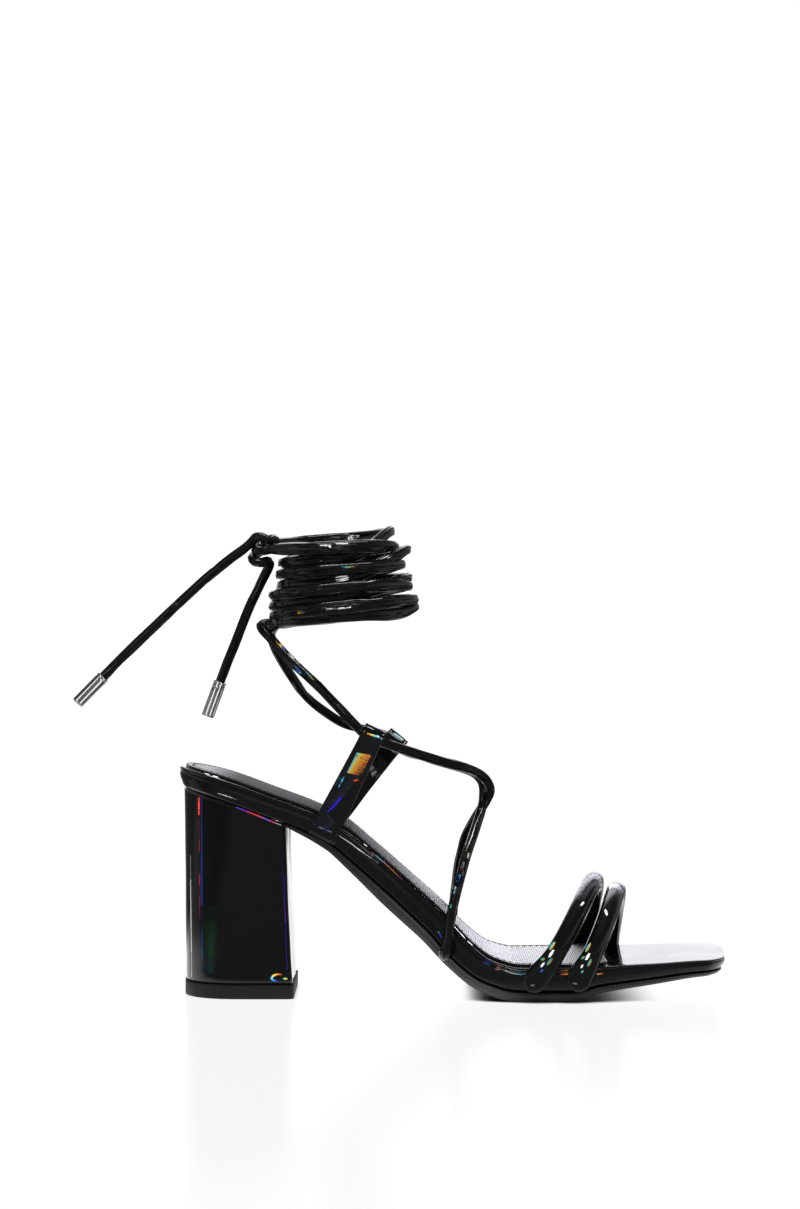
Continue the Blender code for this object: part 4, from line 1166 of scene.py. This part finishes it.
# plain studio: white behind the shoe, dark towards the camera, as the gloss shows it
studio = dict(
    back=1.15, backFrom=(0.45, 0.8), backWide=(0.22, 0.42), backSides=0.08, shift=0.06,
    front=0.075, side=0.3, sideFrom=(0.72, 0.97), sideLevel=(0.2, 0.5), top=0.1, topFrom=(0.8, 0.98),
    tint=(0.955, 0.96, 1.0, 1), plain=1.1,
)
floorSettings = dict(
    half=5.0, paintedShadowReach=0.009, shade=(0.2, 0.66), glow=1.03, front=(-0.055, -0.015), frontDim=0.1,
    beside=(0.16, 0.34), besideDim=0.15, laneAt=0.066, lane=(0.022, 0.045), deep=(0.1, 0.22), deepDim=0.12,
    sheen=0.12, sheenRough=0.2,
)
plainWhite = (1, 1, 1, 1)


def showShader(tree, shader, kind):
    output = tree.nodes.new("ShaderNodeOutput" + kind)
    tree.links.new(shader.outputs[0], output.inputs["Surface"])


def makeWorld(s):
    world = bpy.data.worlds.new("whiteStudio")
    scene.world = world
    world.use_nodes = True
    tree = world.node_tree
    tree.nodes.clear()
    way = partsOf(tree, tree.nodes.new("ShaderNodeTexCoord").outputs["Generated"])
    aside = maths(tree, "ABSOLUTE", way["X"])
    leftward = maths(tree, "ABSOLUTE", maths(tree, "ADD", way["X"], s["shift"]))
    behind = remap(tree, way["Y"], *s["backFrom"], 0.0, s["back"])
    glow = maths(tree, "MULTIPLY", behind, remap(tree, leftward, *s["backWide"], 1.0, s["backSides"]))
    level = remap(tree, maths(tree, "ABSOLUTE", way["Z"]), *s["sideLevel"], 1.0, 0.0)
    sides = maths(tree, "MULTIPLY", remap(tree, aside, *s["sideFrom"], s["front"], s["side"]), level)
    overhead = remap(tree, way["Z"], *s["topFrom"], 0.0, s["top"])
    seen = maths(tree, "ADD", maths(tree, "ADD", glow, sides), maths(tree, "ADD", overhead, s["front"]))
    light = addNode(tree, "ShaderNodeBackground", Strength=seen, Color=s["tint"])
    plain = addNode(tree, "ShaderNodeBackground", Strength=s["plain"], Color=plainWhite)
    toCamera = tree.nodes.new("ShaderNodeLightPath").outputs["Is Camera Ray"]
    pick = addNode(tree, "ShaderNodeMixShader", i0=toCamera, i1=light.outputs[0], i2=plain.outputs[0])
    showShader(tree, pick, "World")


def bareMaterial(name):
    material = bpy.data.materials.new(name)
    material.use_nodes = True
    material.node_tree.nodes.clear()
    return material


def makeFloor(s):
    # glowing white floor with a painted contact shadow from ambient occlusion; to glossy rays it is painted
    # darker in front and beside, a painted dark reflection
    half = s["half"]
    mesh = bpy.data.meshes.new("studioFloor")
    mesh.from_pydata([(-half, -half, 0), (half, -half, 0), (half, half, 0), (-half, half, 0)], [],
                     [(0, 1, 2, 3)])
    material = bareMaterial("paleFloor")
    tree = material.node_tree
    # painted contact shadow: the floor's glow falls off with ambient occlusion close to the sole
    near = addNode(tree, "ShaderNodeAmbientOcclusion", dict(samples=16), Distance=s["paintedShadowReach"]).outputs["AO"]
    seen = remap(tree, near, *s["shade"], 0.0, s["glow"])
    where = partsOf(tree, tree.nodes.new("ShaderNodeTexCoord").outputs["Object"])
    # painted dark reflection: glossy rays see the floor dimmed in front, beside the shoe and far behind
    # outside one lane
    behind = remap(tree, where["Y"], *s["front"], s["frontDim"], 1.0)
    beside = remap(tree, maths(tree, "ABSOLUTE", where["X"]), *s["beside"], 1.0, s["besideDim"])
    fromLane = maths(tree, "ABSOLUTE", maths(tree, "ADD", where["X"], s["laneAt"]))
    lane = remap(tree, fromLane, *s["lane"], 1.0, 0.0)
    deep = maths(tree, "MAXIMUM", lane, remap(tree, where["Y"], *s["deep"], 1.0, s["deepDim"]))
    paintedGlossDimming = maths(tree, "MULTIPLY", deep, maths(tree, "MULTIPLY", behind, beside))
    glossGlowPaintedDark = maths(tree, "MULTIPLY", seen, paintedGlossDimming)
    inGloss = tree.nodes.new("ShaderNodeLightPath").outputs["Is Glossy Ray"]
    lit = addNode(tree, "ShaderNodeEmission", Strength=blendOf(tree, inGloss, seen, glossGlowPaintedDark),
                  Color=plainWhite)
    sheen = addNode(tree, "ShaderNodeBsdfGlossy", Roughness=s["sheenRough"], Color=plainWhite)
    both = addNode(tree, "ShaderNodeMixShader", i0=s["sheen"], i1=lit.outputs[0], i2=sheen.outputs[0])
    showShader(tree, both, "Material")
    mesh.materials.append(material)
    floor = bpy.data.objects.new("studioFloor", mesh)
    scene.collection.objects.link(floor)


def glowMaterial():
    material = bareMaterial("cardGlow")
    tree = material.node_tree
    glow = addNode(tree, "ShaderNodeAttribute", dict(attribute_name="glow")).outputs["Color"]
    shine = addNode(tree, "ShaderNodeEmission", Strength=1.0, Color=glow)
    clear = addNode(tree, "ShaderNodeBsdfTransparent")
    both = addNode(tree, "ShaderNodeAddShader", i0=shine.outputs[0], i1=clear.outputs[0])
    showShader(tree, both, "Material")
    return material


def addCards(name, strips, only):
    # strips are rows of (left point, right point, colour); none of them shows to the camera
    points, faces, colours = [], [], []
    for strip in strips:
        for i, (left, right, colour) in enumerate(strip):
            if i:
                at = len(points)
                faces.append((at - 2, at - 1, at + 1, at))
            points += [left, right]
            colours += [(*colour, 1.0)] * 2
    mesh = bpy.data.meshes.new(name)
    mesh.from_pydata(points, [], faces)
    glow = mesh.attributes.new("glow", "FLOAT_COLOR", "POINT")
    glow.data.foreach_set("color", np.array(colours, np.float32).ravel())
    mesh.materials.append(cardGlow)
    card = bpy.data.objects.new(name, mesh)
    scene.collection.objects.link(card)
    card.visible_camera = card.visible_diffuse = card.visible_shadow = False
    card.light_linking.receiver_collection = bpy.data.collections.new(name + "Lit")
    for lit in only:
        card.light_linking.receiver_collection.objects.link(bpy.data.objects[lit])


def levelCard(left, right, *rows):
    # rows are (y, z, glow) from one long edge of the card to the other
    return [((left, y, z), (right, y, z), glow) for y, z, glow in rows]


white, pale, streak = (14.0, 14.0, 14.0), (1.5, 1.5, 1.7), (2.2, 2.2, 2.3)
lowGrey, faintBlue, unlit = (0.14, 0.16, 0.19), (0.02, 0.03, 0.1), (0.0, 0.0, 0.0)
cards = dict(
    overheadStrip=dict(
        strips=[levelCard(-0.5, 0.5, (-0.14, 1.3, white), (0.02, 1.3, white))],
        only=["laceOuter", "laceInner", "platformBoard", "heelTabOuter", "heelTabInner", "heelBlock"],
    ),
    sockCard=dict(strips=[levelCard(0.0, 0.4, (0.9, 0.0, pale), (0.9, 0.4, pale))], only=["insoleSock"]),
    tabFrontCard=dict(
        strips=[levelCard(-0.7, 0.7, (-0.6, 0.002, lowGrey), (-0.6, 0.03, lowGrey), (-0.6, 0.09, faintBlue),
                          (-0.6, 0.2, unlit))],
        only=["heelTabOuter"],
    ),
    boardFrontCard=dict(
        strips=[levelCard(-0.5, 0.0, (-1.0, 0.002, lowGrey), (-0.5, 0.002, lowGrey), (-0.2, 0.002, unlit))],
        only=["platformBoard"],
    ),
    laceStreaks=dict(
        strips=[levelCard(-0.8, 0.6, (-1.0, z, streak), (-1.0, z + 0.1, streak)) for z in (0.75, -0.35)],
        only=["laceOuter", "laceInner"],
    ),
)
makeWorld(studio)
makeFloor(floorSettings)
cardGlow = glowMaterial()
for name, card in cards.items():
    addCards(name, **card)
scene.view_settings.view_transform = "Standard"
print("studio lit")


# glints: small lamps placed where the gloss mirrors them to the photo's spots
spectrum = dict(
    red=(1.0, 0.05, 0.03), orange=(1.0, 0.36, 0.02), yellow=(1.0, 0.85, 0.08), green=(0.1, 0.9, 0.25),
    cyan=(0.08, 0.8, 1.0), blue=(0.05, 0.15, 1.0), violet=(0.25, 0.03, 1.0), deepBlue=(0.03, 0.01, 0.8),
    brown=(0.5, 0.12, 0.01), white=(1.0, 1.0, 1.0), lilac=(0.86, 0.87, 1.0), none=(0.0, 0.0, 0.0),
)
lampSettings = dict(
    spread=math.radians(96), away=4.0 * mm, close=1.2 * mm, floorGap=3.0 * mm, lensEnds=0.35, dimmest=0.01,
    patchLamps=8,
)


def glint(strength, wide, colours, *pixels, lens=True, away=lampSettings["away"], lamps=3):
    # pixels are places in the 800 x 1209 picture along the glint's middle line; a lens narrows to its ends
    return dict(strength=strength, wide=wide, colours=colours.split(), pixels=pixels, lens=lens, away=away,
                lamps=lamps)


def rainbowPatch(strength, wide, rows, colours, topLeft, topRight, lowLeft, lowRight, fewest=4):
    # rows of one spectrum: the top row stops partway through it, each lower row comes nearer its dark end
    order = colours.split()
    patch = {}
    for row in range(rows):
        down = row / (rows - 1)
        names = order[:round(mix(fewest, len(order), down))]
        left = mix(np.array(topLeft), np.array(lowLeft), down)
        right = mix(np.array(topRight), np.array(lowRight), down)
        patch["row" + str(row)] = glint(strength, wide, " ".join(names), left, right, lens=False,
                                        away=lampSettings["close"], lamps=lampSettings["patchLamps"])
    return patch


glints = dict(
    heelBlock=dict(
        backEdgeTop=glint(22, 1.6, "red red red", (198.9, 797.5), (199, 815)),
        backEdgeDashes=glint(5, 1, "red none red none none red none red none none", (199.1, 818),
                             (199.8, 930)),
        backEdgeBlue=glint(2.4, 2, "blue blue blue blue none blue none", (201.4, 798), (202, 985)),
        breastEdge=glint(4, 1.2, "none deepBlue violet deepBlue violet", (282.8, 850), (285.4, 923),
                         (287.2, 970), away=lampSettings["close"]),
        backGleam=glint(4, 0.7, "none white white white white", (190.4, 855), (191, 920), (191.8, 977)),
        cornerHook=glint(22, 2, "red orange yellow cyan blue none", (281.5, 974.6), (276.5, 974.2),
                         (272.6, 976), (271.4, 978.4), (273.4, 980.6), (278.5, 981.4)),
        cornerDash=glint(18, 2.2, "cyan green yellow orange", (283, 978.6), (287.5, 978.8)),
        greenCore=glint(0.25, 6, "none green green green none", (212, 922), (210.5, 986), lens=False),
        greenHaze=glint(0.2, 15, "none green green blue none", (211, 905), (209.5, 990), lens=False),
        seatLine=glint(18, 1.3, "blue violet red red blue red cyan", (236, 807.2), (246, 811), (258, 815.8),
                       (270, 820.8), (281, 825.4)),
        seatGleam=glint(20, 1.2, "white white", (196, 790.4), (205, 793.4)),
    ),
    platformBoard=dict(
        heelRim=glint(6, 1.6, "none white white none", (205, 773.6), (216, 777.4), (227, 781.8)),
        heelSide=glint(10, 1, "white white none", (218, 793.4), (228, 796.4), (237, 799.8)),
        waistRim=glint(4, 0.7, "white white white white white", (342, 829), (372, 849.4), (400, 872),
                       (428, 898.4), (444, 915)),
        ballRim=glint(3, 0.7, "white white white white", (454, 926), (470, 944), (486, 958), (500, 965.4)),
        waistSide=glint(14, 0.8, "white white white none", (337, 834.6), (350, 842.7), (362, 852),
                        (378.5, 863)),
        waistColours=glint(9, 0.9, "red cyan red orange violet", (371.5, 852.2), (381, 859.8), (392, 870),
                           (402, 879.4)),
        besideLace=glint(8, 1.2, "green blue blue", (438, 931), (441.5, 937.5)),
        ballBlue=glint(10, 0.9, "blue blue", (483.5, 962.2), (489.5, 965.2)),
        ballColours=glint(9, 0.9, "red white white cyan orange", (497, 966.6), (505, 970.6), (514, 973.8),
                          (523, 974.6), (530, 972)),
        betweenStraps=glint(16, 1, "red orange red", (561, 974.4), (572.5, 974.2)),
        beforeStraps=glint(16, 1, "white orange red", (597, 974.2), (603, 973.6)),
    ),
    toeStrapRear=dict(
        crown=glint(1.6, 5, "none lilac lilac lilac lilac lilac none", (577, 900.5), (582.3, 888.5),
                    (588.8, 880), (594.5, 876.4), (598.4, 878), (600.4, 882.4), lens=False),
        crownShade=glint(0.6, 4.2, "none lilac lilac lilac none", (581.4, 902), (586.4, 892.4),
                         (591.6, 885.2), (595.6, 882.4), (598.2, 885.4), lens=False),
        highRainbow=glint(12, 10, "blue cyan green yellow orange red", (550.9, 945), (553.6, 946.8)),
        highGleam=glint(26, 3, "white white", (553.4, 950), (549.4, 957)),
        backRainbow=glint(11, 4, "blue green orange", (541.4, 958.4), (544.2, 959.8)),
        lowGleam=glint(24, 2.4, "white white", (543.8, 962.6), (541.4, 967)),
        lowRainbow=glint(9, 9, "blue cyan green orange red", (548.4, 960.8), (551, 962.3)),
        lowBlue=glint(14, 2.2, "blue blue", (542.6, 969.6), (540.8, 972.2)),
        shoulder=glint(24, 2.6, "white white", (580.6, 905.2), (584, 902.6)),
        footDimple=glint(5, 2, "none white none white", (530.6, 985.6), (534.6, 985)),
    ),
    toeStrapFront=dict(
        crown=glint(1.6, 4.4, "none lilac lilac lilac lilac lilac none", (602, 903), (605, 894.5),
                    (609.6, 888), (614.6, 886), (618.6, 888), (620.4, 893.6), lens=False),
        crownShade=glint(0.6, 4, "none lilac lilac lilac none", (605.6, 903.6), (609, 896.4), (612.8, 892.2),
                         (616, 891.6), (617.6, 895.4), lens=False),
        highRainbow=glint(12, 10.4, "blue cyan green yellow orange red", (586.9, 946.8), (589.6, 947.8)),
        highGleam=glint(26, 3.2, "white white", (589.4, 953.4), (586.2, 959.8)),
        lowRainbow=glint(11, 8.4, "blue cyan green orange red", (588.3, 962.1), (590.9, 963.1)),
        backRainbow=glint(11, 4, "blue green orange", (581.8, 957.2), (584.2, 957.8)),
        lowGleam=glint(22, 2.2, "white white", (582.6, 964.6), (581.4, 968)),
        footRainbow=glint(11, 3.4, "blue green orange", (581.2, 971.4), (583.2, 972)),
        shoulder=glint(24, 2.8, "white white", (605, 910), (607.2, 915.2)),
        footDimple=glint(5, 2, "white none white none", (572.4, 983.2), (577.4, 984)),
    ),
    heelTabOuter=dict(
        blueDash=glint(12, 1.6, "blue cyan blue", (340.6, 783.4), (344, 777)),
        lowBlueDash=glint(12, 1.6, "blue cyan", (338.4, 787.4), (340, 784.6)),
        redDash=glint(18, 1.8, "red red", (353.8, 780.6), (358.2, 780)),
        blueSweep=glint(14, 2.4, "none deepBlue deepBlue deepBlue deepBlue", (343.6, 795), (338, 801),
                        (332.5, 807.4), (327.6, 811.6)),
        topFold=glint(18, 2, "orange yellow cyan white", (367.2, 733.4), (371, 734.6), (375, 736),
                      (381.6, 737.8)),
        footLine=glint(4, 1.6, "white blue white", (318.6, 827), (332, 832.2)),
        **rainbowPatch(11.5, 2.6, 8, "cyan yellow orange orange brown brown none none",
                       topLeft=(356.4, 753.8), topRight=(370.4, 756.4), lowLeft=(347.6, 771.4),
                       lowRight=(361.6, 774.6)),
    ),
    heelTabInner=dict(
        sideFlicker=glint(3, 6, "none white none white none none", (370, 765), (373, 771), (376, 779)),
        topFold=glint(5, 3.4, "white white white", (391, 733.6), (402, 740.4)),
        topEdge=glint(12, 1.4, "white cyan white", (391.5, 731.6), (397, 735.2), (403.4, 740)),
    ),
    laceInner=dict(
        tieTop=glint(12, 1.2, "red yellow blue none", (276.4, 642), (279.4, 645), (286.6, 651.8)),
        tieGleam=glint(12, 1.2, "white white white none", (287.6, 654), (293, 658.2), (300.6, 664)),
        tieCyan=glint(9, 1.6, "cyan blue cyan", (295, 666), (301, 672.6)),
        tieGreen=glint(8, 1.4, "blue green yellow", (306, 672), (313.6, 680)),
        thirdTurn=glint(22, 1.5, "white white none white none white", (322, 560.8), (341, 561), (358, 559.2)),
        secondTurnBack=glint(22, 1.5, "white white", (320, 545.4), (331, 545.2)),
        secondTurn=glint(22, 1.5, "white white", (336, 543.8), (348, 543.4)),
        thirdTurnColours=glint(14, 1.4, "blue green red", (341.4, 567), (347, 567.2), (354, 566.6)),
        lowestTurn=glint(22, 1.5, "white none white white", (326, 608.9), (338, 608.6), (351, 607.2)),
        lowestTurnColours=glint(16, 1.6, "red yellow blue", (297.6, 612.6), (304, 612.4)),
    ),
    laceOuter=dict(
        legTop=glint(12, 2, "yellow white white", (469, 853), (467.4, 858)),
        legGleam=glint(14, 2, "white white orange", (464, 862), (461, 870.6)),
        legBlue=glint(12, 2, "cyan blue cyan", (460.4, 875), (457.6, 882.6)),
        legWhite=glint(14, 1.6, "white cyan white", (456, 886), (453.6, 893.6)),
        legGreen=glint(9, 1.8, "green cyan", (451.4, 904.4), (450.4, 908)),
        fourthTurnBack=glint(22, 1.5, "white white", (313, 586.4), (322, 585)),
        fourthTurn=glint(22, 1.5, "white white", (336, 582), (348, 579.6)),
        fifthTurnBack=glint(22, 1.6, "white white", (316, 594.4), (325, 594)),
        fifthTurn=glint(22, 1.5, "white none white white", (334, 590.4), (355, 588)),
        topTurn=glint(18, 1.5, "none white white none white", (345, 538.6), (359, 536.6)),
    ),
)


def cameraRay(px, py):
    s = cameraSettings
    right = (px - s["frameWidth"] / 2) / s["focalPixels"]
    down = (py - s["frameHeight"] / 2) / s["focalPixels"]
    return camera.location, (camera.matrix_world.to_3x3() @ Vector((right, -down, -1.0))).normalized()


def mirrorPlace(mesh, tree, px, py, distance):
    # where the camera's ray through a place in the picture goes after the gloss
    eye, ray = cameraRay(px, py)
    spot, _, index, _ = tree.ray_cast(eye, ray)
    if spot is None:
        return None
    face = mesh.polygons[index]
    corners = [mesh.vertices[v] for v in face.vertices]
    weights = poly_3d_calc([v.co for v in corners], spot)
    normal = sum((v.normal * w for v, w in zip(corners, weights)), Vector()).normalized()
    away = (ray - 2 * ray.dot(normal) * normal).normalized()
    if away.z < 0:
        distance = min(distance, (spot.z - lampSettings["floorGap"]) / -away.z)
    return spot + away * distance, spot


def addLamp(name, corners, spot, radiance, lit):
    # one small area lamp over four corners, turned to the spot where the gloss mirrors it
    left, right, nextLeft, nextRight = corners
    middle = (left + right + nextLeft + nextRight) / 4
    along = (nextLeft + nextRight - left - right) / 2
    across = (right + nextRight - left - nextLeft) / 2
    back = (middle - spot).normalized()
    side = (along - back * along.dot(back)).normalized()
    up = back.cross(side)
    lamp = bpy.data.lights.new(name, "AREA")
    lamp.shape = "RECTANGLE"
    lamp.size = along.dot(side)
    lamp.size_y = abs(across.dot(up))
    brightest = max(radiance)
    lamp.color = [value / brightest for value in radiance]
    lamp.spread = lampSettings["spread"]
    halfSpread = lampSettings["spread"] / 2
    ahead = math.tan(halfSpread) / (math.tan(halfSpread) - halfSpread)  # a narrow lamp is brighter ahead
    lamp.energy = brightest * math.pi * lamp.size * lamp.size_y / ahead
    placed = bpy.data.objects.new(name, lamp)
    placed.matrix_world = Matrix((side, up, back)).transposed().to_4x4()
    placed.location = middle
    placed.visible_camera = placed.visible_diffuse = False
    placed.light_linking.receiver_collection = lit
    scene.collection.objects.link(placed)


def glintRow(row):
    # middle line and half width of a glint in the picture, with the share of its length at each step
    route = np.array(row["pixels"], float)
    share = np.linspace(0, 1, max(len(row["colours"]), 2 * len(route) - 2, row["lamps"]) + 1)
    travelled = np.concatenate(([0.0], np.cumsum(np.linalg.norm(np.diff(route, axis=0), axis=1))))
    spots = np.stack([np.interp(share, travelled / travelled[-1], route[:, axis]) for axis in (0, 1)], axis=1)
    ahead = unit(np.gradient(spots, axis=0))
    taper = mix(lampSettings["lensEnds"], 1.0, np.sin(math.pi * share))[:, None] if row["lens"] else 1.0
    return share, spots, np.stack((-ahead[:, 1], ahead[:, 0]), axis=1) * taper * row["wide"] / 2


def placeGlints():
    # each glint is a row of small lamps that only its own piece mirrors
    count = 0
    for name, rows in glints.items():
        mesh = bpy.data.objects[name].data
        tree = BVHTree.FromPolygons([v.co for v in mesh.vertices], [tuple(f.vertices) for f in mesh.polygons])
        lit = bpy.data.collections.new(name + "Lit")
        lit.objects.link(bpy.data.objects[name])
        for title, row in rows.items():
            share, spots, beside = glintRow(row)
            shades = np.array([spectrum[colour] for colour in row["colours"]]) * row["strength"]
            stops = np.linspace(0, 1, len(shades))
            edges = [[mirrorPlace(mesh, tree, *place, row["away"]) for place in (spot - off, spot + off)]
                     for spot, off in zip(spots, beside)]
            for i in range(len(share) - 1):
                middle = (share[i] + share[i + 1]) / 2
                radiance = [float(np.interp(middle, stops, channel)) for channel in shades.T]
                ends = edges[i] + edges[i + 1]
                if None in ends or max(radiance) < lampSettings["dimmest"]:
                    continue
                under = sum((spot for _, spot in ends), Vector()) / 4
                addLamp(name + "-" + title, [place for place, _ in ends], under, radiance, lit)
                count += 1
    return count


print("glints placed:", placeGlints())


# cards that only the lace tips mirror
tipCards = dict(sides=((-0.2, -0.04), (0.03, 0.12)), near=0.05, bend=0.1 / 0.14, half=0.2,
                glow=(1.5, 1.5, 1.5))


def lightTip(name, s):
    # two tall cards beside the camera's line, bent towards the camera away from the tip
    corners = bpy.data.objects[name].data.vertices
    middle = sum((v.co for v in corners), Vector()) / len(corners)
    strips = []
    for side in s["sides"]:
        strip = []
        for x in side:
            y = -s["near"] - s["bend"] * abs(x)
            strip.append((middle + Vector((x, y, -s["half"])), middle + Vector((x, y, s["half"])), s["glow"]))
        strips.append(strip)
    addCards(name + "Card", strips, [name])


for name in ("laceTipLong", "laceTipShort"):
    lightTip(name, tipCards)
print("lace tips lit")
